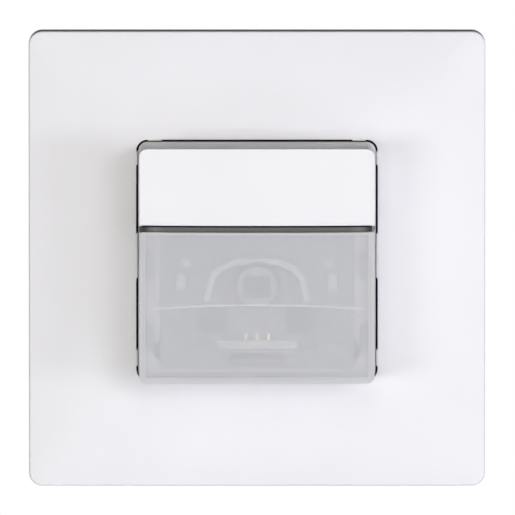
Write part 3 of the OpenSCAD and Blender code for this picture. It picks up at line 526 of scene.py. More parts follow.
def face_at(x, z, mitre=5 * MM):
    """Depth of the crowned face, with soft mitres along the diagonals."""
    blend = max(mitre - abs(abs(x) - abs(z)), 0)
    reach = max(abs(x), abs(z)) + blend * blend / (4 * mitre)
    outer = frame_half - skirt_edge
    return skirt_depth + crown((outer - reach) / (outer - opening_half))


print("rise of the crown in mm halfway to the opening:", round(crown(0.5) / MM, 2))

# %% Rings of the opening and the face
FACE_RINGS = 14
RING_CROWDING = 1.4
LIP_STEPS = 4
pad_front = face_depth - pad_drop
pad_fall = 0.01 * MM
pad_steps = [
    (pad_rise, tray_depth),
    (pad_rise, pad_front - pad_edge),
    (pad_rise - pad_edge, pad_front - pad_fall),
    (0, pad_front),
]
lip_ring = frame_ring(opening_half + opening_edge, opening_corner + opening_edge)
outer_ring = frame_ring(frame_half - skirt_edge, skirt_corner - skirt_edge)
lip_depths = [face_at(x, z) for x, z in lip_ring]
outer_depths = [face_at(x, z) for x, z in outer_ring]
rings = [level_ring(frame_ring(opening_half, opening_corner, pad), depth) for pad, depth in pad_steps]
for inset, rise in quarter_round(opening_edge, LIP_STEPS):
    ring = frame_ring(opening_half + inset, opening_corner + inset)
    rings.append(uneven_ring(ring, [top - opening_edge + rise for top in lip_depths]))
for step in range(1, FACE_RINGS):
    ring = between_rings(lip_ring, outer_ring, (step / FACE_RINGS) ** RING_CROWDING)
    rings.append(uneven_ring(ring, [face_at(x, z) for x, z in ring]))
print("rings from the opening over the face:", len(rings))

# %% Rings of the skirt and the hollow back
UNDER_RINGS = 6
back_edge = 0.2 * MM
tray_ring = frame_ring(frame_half - skirt_wall, skirt_corner - skirt_wall)
collar_ring = frame_ring(collar_half, opening_corner + skirt_wall)
for inset, rise in reversed(list(quarter_round(skirt_edge))):
    ring = frame_ring(frame_half - inset, skirt_corner - inset)
    rings.append(uneven_ring(ring, [top - skirt_edge + rise for top in outer_depths]))
rings.append(level_ring(frame_ring(frame_half, skirt_corner), back_edge))
rings.append(level_ring(frame_ring(frame_half - back_edge, skirt_corner - back_edge), 0))
rings.append(level_ring(tray_ring, 0))
for step in range(UNDER_RINGS + 1):
    share = step / UNDER_RINGS
    rings.append(level_ring(between_rings(tray_ring, collar_ring, share), tray_depth + crown(share)))
rings.append(level_ring(collar_ring, tray_depth))
print("rings of the whole frame:", len(rings))

# %% [markdown]
# ## Ribs for the clips
# The frame snaps onto four spring clips of the mounting plate, and a rib inside the skirt faces each of
# them. The ribs stand in the hollow back, where plain blocks are enough.

# %% Frame with ribs for the clips
clip_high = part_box("frame_clips")[1]
plate_front = -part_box("mounting_plate")[0].y
clip_rib_half = 1 * MM
clip_rib_gap = 0.2 * MM
clip_rib_inset = 4 * MM
clip_rib_drop = 0.25 * MM
clip_rib_depths = (clip_rib_drop - skirt_depth, -plate_front)
mesh = bmesh.new()
skin(mesh, rings, closed=True)
for row in (-1, 1):
    rib_z = row * (clip_high.z - clip_rib_inset)
    rib_span = (rib_z - clip_rib_half, rib_z + clip_rib_half)
    rib_end = frame_half - skirt_wall + back_edge
    add_side_blocks(mesh, clip_high.x + clip_rib_gap, rib_end, clip_rib_depths, rib_span)
make_piece("cover_frame_moulding", mesh, frame_white, "base", "cover_frame")

# %% [markdown]
# ## Form of the head
# Button and lens look like two open-backed caps cut from one drafted block: they share its slope, its
# corner radius and its round front edge. So one function makes a cap from rings: down the inside, over
# the rim, up the outside and over the front edge. The joint between the two bows by a tenth of a
# millimetre, as it does on the moulded pieces.

# %% Sizes of the head
BUTTON_SAG = 0.75
LENS_SAG = 0.5
button_low, button_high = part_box("push_button")
head_front = -button_low.y
head_back = 8.2 * MM
head_draft = math.tan(math.radians(1.15))
head_front_half = tower_half - (head_front - head_back) * head_draft
head_corner = 1.5 * MM
head_edge = 0.08 * MM
least_round = 0.2 * MM
joint_edge = 0.15 * MM
least_joint_edge = 0.05 * MM
joint_share = 0.45
joint_bow = 0.1 * MM
print("front of the head in mm:", round(2 * head_front_half / MM, 2))

# %% Rings of a cap
INSIDE_SHARES = (1, 0.5, 0)
OUTSIDE_SHARES = (0, 0.25, 0.5, 0.75)


def cap_ring(depth, inset, joint_z, above):
    """Ring of a cap at one depth: above the joint for the button, below it for the lens."""
    half = head_front_half + (head_front - depth) * head_draft - inset
    rounds = [max(head_corner + (head_front - depth) * head_draft - inset, least_round)] * 2
    squares = [max(joint_edge - inset, least_joint_edge)] * 2
    if above:
        ring = soft_rectangle(-half, half, joint_z + inset * joint_share, half, rounds + squares)
    else:
        ring = soft_rectangle(-half, half, -half, joint_z - inset * joint_share, squares + rounds)
    far_z = half if above else -half
    sag = BUTTON_SAG if above else LENS_SAG
    bowed = []
    for x, z in ring:
        share = (z - far_z) / (joint_z - far_z)
        bowed.append((x, z + joint_bow * share * ((x / tower_half) ** 2 - sag)))
    return bowed


def cap_rings(joint_z, above, wall, back_of):
    """Rings of a whole cap; back_of gives the depth of the rim at a point of it."""
    inner_front = head_front - wall
    outer_front = head_front - head_edge

    def between(inset, front, share):
        """Ring at a share of the way from the rim to the front."""
        ring = cap_ring(front, inset, joint_z, above)
        depths = [back_of(x, z) + (front - back_of(x, z)) * share for x, z in ring]
        plans = [cap_ring(depth, inset, joint_z, above) for depth in depths]
        return uneven_ring([plan[i] for i, plan in enumerate(plans)], depths)

    rings = [between(wall, inner_front, share) for share in INSIDE_SHARES]
    rings += [between(0, outer_front, share) for share in OUTSIDE_SHARES]
    for inset, rise in quarter_round(head_edge):
        depth = outer_front + rise
        rings.append(level_ring(cap_ring(depth, inset, joint_z, above), depth))
    for inset in (2 * head_edge, wall):
        rings.append(level_ring(cap_ring(head_front, inset, joint_z, above), head_front))
    return rings


print("points in a ring of a cap:", len(cap_ring(head_front, 0, button_low.z, True)))

# %% [markdown]
# ## Push button
# The button is a hollow cap that tilts on a pin. Its lower wall is shorter than the others, because the
# push switch sits behind it. Two ears for the pin and a nose that presses the switch stand on its
# inside; they hardly show, so plain blocks are enough.

# %% Button cap
FLOOR_REACH = 1.2
button_wall = 1.4 * MM
button_rim = -button_high.y
floor_rim = 13.6 * MM
button_joint = button_low.z
hinge = next(joint for joint in frame["joints"] if joint["name"] == "button_tilt")
hinge_y, hinge_z = hinge["pos_m"][1:]
plunger_low, plunger_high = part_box("switch_plunger")
ear_half = 1.6 * MM
ear_near, ear_far = 13.8 * MM, 15.8 * MM
nose_half = 1.2 * MM
nose_tip = 12.3 * MM
nose_z = (plunger_low.z + plunger_high.z) / 2
anchor = 0.2 * MM
anchor_y = -head_front + button_wall - anchor


def button_back(x, z):
    """Depth of the button's rim, which is further forward along the lower wall."""
    in_floor = z < button_joint + FLOOR_REACH * button_wall and abs(x) < tower_half - button_wall
    return floor_rim if in_floor else button_rim


mesh = bmesh.new()
skin(mesh, cap_rings(button_joint, True, button_wall, button_back))
ear_depths = (anchor_y, hinge_y + ear_half)
add_side_blocks(mesh, ear_near, ear_far, ear_depths, (hinge_z - ear_half, hinge_z + ear_half))
nose_span = (nose_z - nose_half, nose_z + nose_half)
add_block(mesh, (-nose_half, nose_half), (anchor_y, -nose_tip), nose_span)
make_piece("push_button_cap", mesh, button_white, "button", "push_button")

# %% [markdown]
# ## Lens
# The lens is the other cap. A thin arched rib runs across its inside, where two rows of its zones meet;
# it shows through the wall as a fine pale line, so its shape is modelled, and its finish adds painted
# light. The front rim's faces take the finish with painted shade, and four tabs at the back hold the
# lens in the carrier.

# %% Zone rib
ZONE_STEPS = 40
# Index of the rib's finish, which carries painted light.
ZONE_FINISH = 1
lens_wall = 1.2 * MM
zone_radius = 261 * MM
zone_width = 0.22 * MM
zone_height = 0.25 * MM
zone_bite = 0.1 * MM
zone_top = -7.43 * MM


def zone_rib(mesh):
    """Thin arched rib across the inside of the lens."""
    shell_faces = len(mesh.faces)
    half = head_front_half - lens_wall + zone_bite
    root = head_front - lens_wall + zone_bite
    tip = head_front - lens_wall - zone_height
    rings = []
    for step in range(ZONE_STEPS + 1):
        x = half * (2 * step / ZONE_STEPS - 1)
        z = zone_top - zone_radius + math.sqrt(zone_radius**2 - x**2)
        corners = [(0, root), (0, tip), (-zone_width, tip), (-zone_width, root)]
        rings.append([at_depth(x, z + drop, depth) for drop, depth in corners])
    skin(mesh, rings)
    for face in list(mesh.faces)[shell_faces:]:
        face.material_index = ZONE_FINISH


print("top of the arched rib in mm:", round(zone_top / MM, 2))

# %% Lens cap
# Index of the rim's finish, which carries painted shade.
RIM_FINISH = 2
TAB_HEIGHTS = (-1 * MM, -15 * MM)
tab_half = 2.5 * MM
tab_thick = 1.2 * MM
tab_root = 2 * MM
tab_inset = 1.6 * MM
tab_far = tower_half - tab_inset
rim_margin = 0.01 * MM
rim_start = head_front - head_edge - rim_margin


def lens_back(x, z):
    """Depth of the lens' rim, which is level all round."""
    return head_back


mesh = bmesh.new()
skin(mesh, cap_rings(lens_high.z, False, lens_wall, lens_back))
for face in mesh.faces:
    at_front = min(-corner.co.y for corner in face.verts) > rim_start
    if at_front and len(face.verts) == 4:
        face.material_index = RIM_FINISH
zone_rib(mesh)
for z in TAB_HEIGHTS:
    tab_depths = (-head_back - tab_root, lens_high.y)
    add_side_blocks(mesh, tab_far - tab_thick, tab_far, tab_depths, (z - tab_half, z + tab_half))
lens_cap = make_piece("fresnel_lens_cap", mesh, lens_grey, "base", "fresnel_lens")
for finish in (lens_rib_painted_light, lens_rim_painted_shade):
    lens_cap.data.materials.append(finish)
print("finishes of the lens:", [finish.name for finish in lens_cap.data.materials])

# %% [markdown]
# ## Light bar
# The bar is a flat strip that sits just behind the joint, with a foot at each end. A scaled cube would
# do for its size, but it is skinned from rings, so that it follows the joint's bow and has a small round
# along its front edges that catches the light.

# %% Light bar strip
BAR_EDGE_STEPS = 3
BAR_SIDE_STEPS = 12
bar_front = -bar_low.y
bar_back = 9.0 * MM
bar_edge = 0.12 * MM
bar_edge_share = 0.9
foot_length = 1.5 * MM


def bar_ring(depth, inset):
    """Ring of the bar, bowed with the joint."""
    left, right = bar_low.x + inset, bar_high.x - inset
    low, high = bar_low.z + inset, bar_high.z - inset
    outline = soft_rectangle(left, right, low, high, [bar_edge] * 4, BAR_EDGE_STEPS, BAR_SIDE_STEPS)
    bowed = [(x, z + joint_bow * ((x / tower_half) ** 2 - LENS_SAG)) for x, z in outline]
    return level_ring(bowed, depth)


mesh = bmesh.new()
rings = [bar_ring(bar_back, 0)]
for inset, rise in quarter_round(bar_edge, BAR_EDGE_STEPS):
    rings.append(bar_ring(bar_front - bar_edge + rise, inset * bar_edge_share))
skin(mesh, rings)
foot_depths = (-bar_back - bar_edge, bar_high.y)
add_side_blocks(mesh, bar_high.x - foot_length, bar_high.x, foot_depths, (bar_low.z, bar_high.z))
make_piece("light_bar_strip", mesh, smoked_bar, "base", "light_bar")

# %% [markdown]
# ## Drawn and plated metal
# Plate, clips, screws and pins are plated steel or brass. Drawn or rolled metal shows fine lines along
# one axis, so its noise is stretched along that axis. Zinc plating shows faint crystal patches, which a
# texture of cells gives. Both drive the roughness more than the colour, because metal shows its finish
# in what it mirrors.

# %% Metal finishes
LINE_SIZE = 0.12
LINE_SHADE = 0.9
LINE_SWING = (-0.08, 0.1)
ALONG_X = (0.06, 1, 1)
ALONG_Z = (1, 1, 0.06)


def metal_lines(tree, shader, roughness, stretch=(1, 1, 1)):
    """Fine lines in a metal's roughness and relief."""
    lines = grain(tree, LINE_SIZE, stretch=stretch)
    smoother, rougher = LINE_SWING
    drive(shader, Roughness=spread(tree, lines, roughness + smoother, roughness + rougher))
    relief(tree, shader, lines, FINE_RELIEF)
    return lines


def drawn_metal(name, colour, roughness=0.3, stretch=ALONG_X):
    """Metal with lines along the axis where stretch is small."""
    material, tree, shader = new_finish(name, Metallic=1)
    lines = metal_lines(tree, shader, roughness, stretch)
    drive(shader, Base_Color=tinted(tree, lines, colour, LINE_SHADE))
    return material


print("lines on metal are", LINE_SIZE, "mm wide")

# %% Zinc plating
PATCH_SHADES = (0.95, 1.04)
PATCH_RANGE = (0.4, 1.4)
ZINC_SWING = 0.06
ZINC_LINE = 0.15
ZINC_STRETCH = (1, 1, 0.08)
ZINC_RELIEF = 0.003


def zinc_plate(name, colour, roughness, patch=2.2):
    """Zinc-plated steel with crystal patches of that size in mm."""
    material, tree, shader = new_finish(name, Metallic=1)
    crystals = {"Vector": place_on_piece(tree), "Scale": 1 / (patch * MM)}
    patches = add_node(tree, "TexVoronoi", crystals).outputs["Color"]
    tone = add_node(tree, "SeparateColor", {"Color": patches}).outputs["Red"]
    tint = ramp(tree, tone, [(i, shade(colour, share)) for i, share in enumerate(PATCH_SHADES)])
    lines = grain(tree, ZINC_LINE, stretch=ZINC_STRETCH)
    both = calculate(tree, "ADD", tone, lines)
    matt = spread(tree, both, roughness - ZINC_SWING, roughness + ZINC_SWING, PATCH_RANGE)
    drive(shader, Base_Color=tint, Roughness=matt)
    relief(tree, shader, lines, ZINC_RELIEF)
    return material


print("zinc patches range from", PATCH_SHADES[0], "to", PATCH_SHADES[1], "of the colour")

# %% [markdown]
# ## The sensor's can
# Behind the lens sits a round can of sheet metal, and a dark ring of painted shade marks its
# rolled-over edge. The ring could be a separate mesh, but the can already has its true shape, so its
# colour simply darkens with the distance from its axis.

# %% Can finish
CAN_ROUGHNESS = 0.55
# Painted shade: the can turns dark between these shares of its radius.
SHADE_RING_START = 0.91
SHADE_RING_FULL = 0.94


def can_with_shade_ring(name, colour, ring_shade_colour, centre, radius):
    """Sheet metal cap with a ring of painted shade where its edge is rolled over."""
    material, tree, shader = new_finish(name, Metallic=1)
    place = place_on_piece(tree)
    offset = add_node(tree, "VectorMath", {0: place, 1: centre}, operation="SUBTRACT").outputs["Vector"]
    flat = add_node(tree, "VectorMath", {0: offset, 1: (1, 0, 1)}, operation="MULTIPLY").outputs["Vector"]
    distance = add_node(tree, "VectorMath", {0: flat}, operation="LENGTH").outputs["Value"]
    share = calculate(tree, "DIVIDE", distance, radius)
    stops = [(0, colour), (SHADE_RING_START, colour), (SHADE_RING_FULL, ring_shade_colour)]
    drive(shader, Base_Color=ramp(tree, share, stops))
    metal_lines(tree, shader, CAN_ROUGHNESS)
    return material


can_low, can_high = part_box("pir_can")
can_centre = (can_low + can_high) / 2
can_steel = can_with_shade_ring("can_steel", (0.33, 0.33, 0.326), (0.015, 0.015, 0.015), can_centre, can_high.x)
print("the sensor's can is", round(2 * can_high.x / MM, 2), "mm wide")

# %% [markdown]
# ## Circuit boards, tube and window
# A board is solder mask over copper, green for the mains parts and pale grey behind the lens. Its tracks
# could be modelled one by one, but they lie deep inside, so a brick texture draws them, a little proud
# and lighter. The fuse is a glossy clear tube and the sensor's window a matt dark filter; both let part
# of the light through.

# %% Board finish
TRACK_UNIT = 4 * MM
TRACK_SIZES = {"Scale": 1 / TRACK_UNIT, "Mortar Size": 0.03, "Brick Width": 4.3, "Row Height": 0.23}
TRACK_RELIEF = 0.03
MASK_GRAIN = 0.4
MASK_ROUGHNESS = (0.28, 0.4)


def solder_mask(name, colour, track_colour):
    """Board with tracks under its lacquer; the texture is turned to lie in the board's plane."""
    material, tree, shader = new_finish(name, Specular_IOR_Level=0.5)
    upright = {"Vector": place_on_piece(tree), "Rotation": (math.radians(90), 0, 0)}
    turned = add_node(tree, "Mapping", upright).outputs["Vector"]
    tracks = add_node(tree, "TexBrick", {"Vector": turned, **TRACK_SIZES}).outputs["Fac"]
    tint = ramp(tree, tracks, [(0, colour), (1, track_colour)])
    drive(shader, Base_Color=tint, Roughness=spread(tree, grain(tree, MASK_GRAIN), *MASK_ROUGHNESS))
    relief(tree, shader, tracks, TRACK_RELIEF)
    return material


row_height = TRACK_UNIT * TRACK_SIZES["Row Height"]
print("tracks lie", round(row_height / MM, 2), "mm apart")

# %% Tube and window finish
TUBE_HAZE = 1.5
TUBE_SHADE = 0.94
TUBE_SWING = 0.09


def clear_tube(name, colour, cover, roughness=0.05, shine=0.6):
    """Glassy finish that covers that share of what lies behind it."""
    material, tree, shader = new_finish(name, Alpha=cover, Specular_IOR_Level=shine)
    haze = grain(tree, TUBE_HAZE)
    matt = spread(tree, haze, roughness, roughness + TUBE_SWING)
    drive(shader, Base_Color=tinted(tree, haze, colour, TUBE_SHADE), Roughness=matt)
    return material


print("haze in glass is", TUBE_HAZE, "mm coarse")

# %% [markdown]
# ## Carrier with painted shade
# The carrier that holds the head is seen in two places: its rim just above the cover frame, and the
# bottom of the narrow gap round the head, which reads as a black line. That line is shade in the gap, and
# the carrier's colour deepens it with painted shade: nearly black towards the wall, pale at the rim. It
# could be two meshes, but here its colour follows the depth and changes over a soft fade.

# %% Carrier finish
# Depths over which the carrier's painted shade fades out towards its pale rim.
SHADE_FADE = (6.7 * MM, 7.5 * MM)
SHADE_FADE_BLOTCH = 0.04
CARRIER_GRAIN = 0.25
CARRIER_RELIEF = 0.004
CARRIER_ROUGHNESS = (0.7, 0.82)


def root_shaded_plastic(name, painted_shade_colour, rim_colour):
    """Pale plastic with painted shade that darkens it towards the wall, over the two depths of the fade.
    """
    material, tree, shader = new_finish(name, Specular_IOR_Level=0.05)
    separate = add_node(tree, "SeparateXYZ", {"Vector": place_on_piece(tree)})
    shade_fade = spread(tree, separate.outputs["Y"], 0, 1, (-SHADE_FADE[0], -SHADE_FADE[1]))
    pits = grain(tree, CARRIER_GRAIN)
    blotched = calculate(tree, "ADD", spread(tree, pits, -SHADE_FADE_BLOTCH, SHADE_FADE_BLOTCH), shade_fade)
    tint = ramp(tree, blotched, [(0, painted_shade_colour), (1, rim_colour)])
    drive(shader, Base_Color=tint, Roughness=spread(tree, pits, *CARRIER_ROUGHNESS))
    relief(tree, shader, pits, CARRIER_RELIEF)
    return material


# The dark colour is painted shade for the gap round the head.
carrier_white = root_shaded_plastic("carrier_white", (0.07, 0.068, 0.06), (0.8, 0.79, 0.76))
print("the carrier turns pale from", SHADE_FADE[0] / MM, "to", SHADE_FADE[1] / MM, "mm in front of the wall")

# %% [markdown]
# ## A finish for every node of the frame
# The nodes that keep their own shape take one of these finishes. They could be set one by one, but tables
# that name the finish of each are easier to read and to change, and a loop puts the finishes on. Nodes
# that share a finish share one material.

# %% Plastics in the head
HEAD_PLASTICS = {
    carrier_white: ["head_carrier"],
    moulded_plastic("visor_white", (0.86, 0.86, 0.85), grain_size=0.4): ["sensor_visor"],
    moulded_plastic("sensor_white", (0.82, 0.82, 0.79), roughness=0.35): ["light_sensors"],
    moulded_plastic("led_cream", (0.85, 0.8, 0.6), roughness=0.3): ["indicator_leds"],
    moulded_plastic("clip_nylon", (0.82, 0.82, 0.78), grain_size=0.5): ["board_clips"],
    moulded_plastic("chip_black", (0.1, 0.1, 0.105), roughness=0.6): ["controller_chip", "amplifier_chip"],
    moulded_plastic("baffle_grey", (0.5, 0.5, 0.495)): ["lower_baffle"],
    moulded_plastic("header_white", (0.82, 0.82, 0.8), roughness=0.4): ["program_header"],
    moulded_plastic("switch_black", (0.05, 0.05, 0.055)): ["switch_body"],
    moulded_plastic("plunger_amber", (0.75, 0.35, 0.08), roughness=0.35): ["switch_plunger"],
    moulded_plastic("dial_base_blue", (0.06, 0.12, 0.35), roughness=0.4): ["dial_bases"],
    moulded_plastic("dial_white", (0.78, 0.78, 0.75)): ["time_dial", "brightness_dial"],
    moulded_plastic("element_ceramic", (0.75, 0.72, 0.62), roughness=0.7, grain_size=0.1): ["pir_element"],
}


def dress(finishes):
    """Puts each finish on its nodes."""
    for finish, names in finishes.items():
        for name in names:
            nodes[name].material_slots[0].material = finish
    return sum(len(names) for names in finishes.values())


print("plastic nodes in the head:", dress(HEAD_PLASTICS))

# %% Plastics in the base
COARSE_GRAIN = {"grain_size": 0.4, "grain_depth": 0.008}
TERMINAL_GRAIN = {"grain_size": 0.35, "grain_depth": 0.008}
BASE_PLASTICS = {
    moulded_plastic("plug_black", (0.03, 0.03, 0.035), roughness=0.45): ["board_socket", "pin_strip"],
    moulded_plastic("housing_white", (0.78, 0.78, 0.77), **COARSE_GRAIN): ["base_housing"],
    moulded_plastic("rear_grey", (0.62, 0.62, 0.62), **COARSE_GRAIN): ["rear_cover"],
    moulded_plastic("relay_black", (0.04, 0.045, 0.06), roughness=0.35): ["relay"],
    moulded_plastic("film_yellow", (0.7, 0.58, 0.12), roughness=0.25, shine=0.5): ["film_capacitor"],
    moulded_plastic("sleeve_navy", (0.03, 0.05, 0.14), roughness=0.25, shine=0.5): ["smoothing_capacitor"],
    moulded_plastic("disc_blue", (0.06, 0.16, 0.45), roughness=0.22, shine=0.5): ["varistor"],
    moulded_plastic("core_brown", (0.12, 0.09, 0.07), roughness=0.6, grain_size=0.15): ["transformer"],
    moulded_plastic("terminal_grey", (0.16, 0.165, 0.18), **TERMINAL_GRAIN): ["terminal_poles"],
}
print("plastic nodes in the base:", dress(BASE_PLASTICS))

# %% Metals, boards and glass
OTHER_FINISHES = {
    drawn_metal("pin_steel", (0.6, 0.6, 0.62), roughness=0.25): ["hinge_pin"],
    # The header is painted near-black, as shade, so that its brim shows as a dark ring round the can.
    drawn_metal("header_steel", (0.06, 0.06, 0.058), roughness=0.5): ["pir_header"],
    can_steel: ["pir_can"],
    drawn_metal("pin_brass", (0.85, 0.76, 0.55), roughness=0.4): ["program_pins", "board_pins"],
    drawn_metal("clip_steel", (0.6, 0.6, 0.62), stretch=ALONG_Z): ["frame_clips"],
    drawn_metal("spring_steel", (0.6, 0.61, 0.63)): ["terminal_springs"],
    drawn_metal("contact_copper", (0.7, 0.4, 0.24)): ["terminal_contacts"],
    zinc_plate("plate_steel", (0.42, 0.425, 0.43), roughness=0.6): ["mounting_plate"],
    zinc_plate("screw_steel", (0.42, 0.42, 0.43), roughness=0.4, patch=0.8): ["cover_screws"],
    zinc_plate("screw_grey", (0.25, 0.25, 0.255), roughness=0.6, patch=0.8): ["stack_screws"],
    solder_mask("board_green", (0.05, 0.17, 0.09), (0.09, 0.27, 0.14)): ["power_board"],
    solder_mask("board_grey", (0.36, 0.365, 0.37), (0.4, 0.4, 0.4)): ["sensor_board"],
    clear_tube("fuse_glass", (0.8, 0.82, 0.8), 0.5): ["fuse"],
    clear_tube("window_dark", (0.12, 0.12, 0.13), 0.9, roughness=0.5, shine=0.05): ["pir_window"],
}
print("nodes of metal, board and glass:", dress(OTHER_FINISHES))

# %% [markdown]
# ## Soft edges on the frame's nodes
# No real piece has a perfectly sharp edge: mouldings have a small radius and sheet metal a rolled burr.
# The nodes' own vertices stay as they are, so modifiers do the work: weld the corners that the file keeps
# apart, dissolve the flat triangles, bevel what is sharp and weight the normals. The carrier keeps its
# triangles, because its faces, merged round so many openings, would fold over themselves.

# %% Soften edges
EDGE_RADIUS = {
    "base_housing": 0.2, "rear_cover": 0.15, "terminal_poles": 0.1, "mounting_plate": 0.15,
    "frame_clips": 0.1, "cover_screws": 0.08, "stack_screws": 0.08, "relay": 0.3, "film_capacitor": 0.4,
    "smoothing_capacitor": 0.4, "varistor": 0.5, "transformer": 0.3, "switch_plunger": 0.15,
    "pir_can": 0.1,
}
SMALL_EDGE = 0.06
KEEP_TRIANGLES = ["head_carrier"]
FLAT_FOLD = math.radians(1)
weld_gap = 0.001 * MM


def soften(node, radius, keep_triangles):
    """Adds a small round, in mm, to a node's sharp edges without touching its vertices."""
    weld = node.modifiers.new("weld", "WELD")
    weld.merge_threshold = weld_gap
    if not keep_triangles:
        flat = node.modifiers.new("flat faces", "DECIMATE")
        flat.decimate_type = "DISSOLVE"
        flat.angle_limit = FLAT_FOLD
    bevel = node.modifiers.new("round edges", "BEVEL")
    bevel.width = radius * MM
    bevel.segments = 2
    bevel.angle_limit = SHARP_FOLD
    bevel.use_clamp_overlap = False
    normals = node.modifiers.new("normals", "WEIGHTED_NORMAL")
    normals.keep_sharp = True


shown_nodes = {name: node for name, node in nodes.items() if not node.hide_render}
for name, node in shown_nodes.items():
    soften(node, EDGE_RADIUS.get(name, SMALL_EDGE), name in KEEP_TRIANGLES)
print("nodes with soft edges:", len(shown_nodes))

# %% [markdown]
# ## White surroundings
# The photograph has a pure white ground. A bright white world would give it, but it would also light the
# object from all sides and wash its shadows out. Here rays from the camera, and those that metal or clear
# plastic sends on, see plain white, while the surfaces get only a faint fill. The light then stays at a
# level where a colour renders about as it is written.

# %% World
FILL = 0.01
WHITE = (1, 1, 1, 1)


def seen_rays(tree):
    """One for rays of the camera and for those that metal or glass sends on, else zero."""
    path = add_node(tree, "LightPath")
    seen = path.outputs["Is Camera Ray"]
    for ray in ("Is Glossy Ray", "Is Transmission Ray"):
        seen = calculate(tree, "MAXIMUM", seen, path.outputs[ray])
    return seen


scene = bpy.context.scene
world = bpy.data.worlds.new("studio")
scene.world = world
world.use_nodes = True
tree = world.node_tree
white = add_node(tree, "Background", {"Color": WHITE, "Strength": 1}).outputs[0]
fill = add_node(tree, "Background", {"Color": WHITE, "Strength": FILL}).outputs[0]
mixed = add_node(tree, "MixShader", {0: seen_rays(tree), 1: fill, 2: white}).outputs[0]
tree.links.new(mixed, tree.nodes["World Output"].inputs["Surface"])
scene.view_settings.view_transform = "Standard"
print("fill light from the surroundings:", FILL)

# %% [markdown]
# ## Floor
# A sheet of white paper lies well below the object and throws some light back onto its underside. It
# could fill the picture as a backdrop, but the photograph shows no ground and no shadow on one, so it
# stays out of the main view. It is low enough for the lower lamps to shine past it, and most of what
# another view sees of it is a white glow, so that it melts into the ground.

# %% Paper floor
FLOOR_DROP = 156 * MM
FLOOR_GLOW = 0.92
FLOOR_CORNERS = [(-0.6, -0.15), (0.6, -0.15), (0.6, 0.8), (-0.6, 0.8)]
PAPER_GRAIN = 8
PAPER_DARK = (0.86, 0.86, 0.86)
PAPER_LIGHT = (0.9, 0.9, 0.9)


def glowing_paper():
    """White paper that glows for the rays that are seen, and is matt for all others."""
    material, tree, shader = new_finish("floor_paper", Roughness=0.9, Specular_IOR_Level=0)
    stops = list(zip(NOISE_RANGE, (PAPER_DARK, PAPER_LIGHT)))
    drive(shader, Base_Color=ramp(tree, grain(tree, PAPER_GRAIN), stops))
    glow = add_node(tree, "Emission", {"Color": WHITE, "Strength": 1}).outputs[0]
    share = calculate(tree, "MULTIPLY", seen_rays(tree), FLOOR_GLOW)
    mixed = add_node(tree, "MixShader", {0: share, 1: shader.outputs[0], 2: glow}).outputs[0]
    tree.links.new(mixed, tree.nodes["Material Output"].inputs["Surface"])
    return material


floor_z = cad_box[0].z - FLOOR_DROP
mesh = bmesh.new()
mesh.faces.new([mesh.verts.new((x, y, floor_z)) for x, y in FLOOR_CORNERS])
floor_data = bpy.data.meshes.new("floor")
mesh.to_mesh(floor_data)
mesh.free()
floor = bpy.data.objects.new("floor", floor_data)
scene.collection.objects.link(floor)
floor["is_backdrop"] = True
floor_data.materials.append(glowing_paper())
print("floor height in mm:", round(floor_z / MM, 1))

# %% [markdown]
# ## Softboxes
# The photograph's light is even and frontal, a little stronger and cooler from the right, and leaves soft
# shadows round the head. One large softbox would be the simplest, but then all shadows are alike. Seven
# small ones in front, each with its own strength and tint, let every slope of the frame and every shadow
# be set by itself, and one behind lights the back.

# %% Lamps
LAMP_DISTANCE = 1.2

# Each lamp: name, azimuth and elevation in degrees, width and height in m, power in W, colour
LAMPS = [
    ("left_softbox", -32, -4, 0.45, 0.25, 3.5, (1, 0.985, 0.985)),
    ("front_softbox", -9, 0, 0.3, 0.12, 2.05, (1, 0.97, 0.92)),
    ("near_right_softbox", 22, 10, 0.45, 0.25, 4.05, (0.94, 0.94, 1)),
    ("far_right_softbox", 53, -3, 0.3, 0.25, 3.95, (0.865, 0.88, 1)),
    ("upper_softbox", 0, 27, 0.3, 0.5, 1.9, (1, 0.97, 0.8)),
    ("lower_softbox", 0, -30, 0.3, 0.6, 1.1, (1, 1, 0.97)),
    ("lower_right_softbox", 40, -28, 0.3, 0.45, 1.5, (0.9, 0.91, 1)),
    ("rear_softbox", 196, -11, 2.0, 0.3, 10.0, (1, 1, 1)),
]


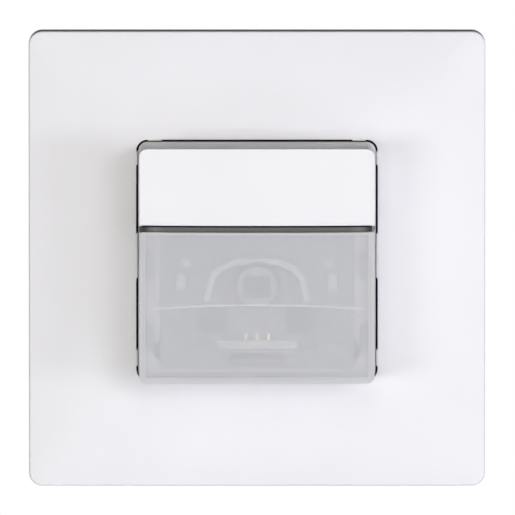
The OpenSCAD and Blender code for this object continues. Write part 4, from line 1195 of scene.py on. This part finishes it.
def softbox(name, azimuth, elevation, width, height, power, colour):
    """Area lamp that looks at the object from that side; azimuth 0 is the front, 90 the right."""
    lamp = bpy.data.lights.new(name, "AREA")
    lamp.shape = "RECTANGLE"
    lamp.size = width
    lamp.size_y = height
    lamp.energy = power
    lamp.color = colour
    box = bpy.data.objects.new(name, lamp)
    scene.collection.objects.link(box)
    a = math.radians(azimuth)
    e = math.radians(elevation)
    towards = Vector((math.sin(a) * math.cos(e), -math.cos(a) * math.cos(e), math.sin(e)))
    box.location = towards * LAMP_DISTANCE
    box.rotation_mode = "QUATERNION"
    box.rotation_quaternion = towards.to_track_quat("Z", "Y")


for lamp in LAMPS:
    softbox(*lamp)
print("softboxes:", [light.name for light in bpy.data.lights])

# %% [markdown]
# ## Camera
# The photograph was taken from far away, a few degrees above the switch and square to it, so upright
# edges stay parallel. An orthographic camera would come close, but a long lens at the matching distance
# keeps the slight perspective. The aim is set a fraction of a millimetre off the middle to land on the
# photograph's own framing.

# %% Camera and aim
VIEW_HEIGHT = math.radians(5.3)
VIEW_HALF = 49.63 * MM
AIM_ACROSS = 0.106 * MM
AIM_UP = 0.482 * MM
LENS_LENGTH = 1200
SENSOR = 36
VIEW_END = 10
aim = Vector((AIM_ACROSS, -face_depth, AIM_UP))
camera_data = bpy.data.cameras.new("camera")
camera_data.lens = LENS_LENGTH
camera_data.sensor_width = SENSOR
camera_data.clip_end = VIEW_END
camera = bpy.data.objects.new("camera", camera_data)
scene.collection.objects.link(camera)
scene.camera = camera
distance = VIEW_HALF * LENS_LENGTH / (SENSOR / 2)
backwards = Vector((0, -math.cos(VIEW_HEIGHT), math.sin(VIEW_HEIGHT)))
camera.location = aim + backwards * distance
camera.rotation_mode = "QUATERNION"
camera.rotation_quaternion = (-backwards).to_track_quat("-Z", "Y")
print("camera distance in m:", round(distance, 3))

# %% [markdown]
# ## Check the size and finish
# Looks never change the object's size. The box of the solids and the box of the dressed object are
# written side by side, so that any growth shows at once.

# %% Size and finish
visual_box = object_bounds()
for end, cad_corner, visual_corner in zip(("low", "high"), cad_box, visual_box):
    print("growth in mm,", end, "corner:", [round(step / MM, 3) for step in visual_corner - cad_corner])
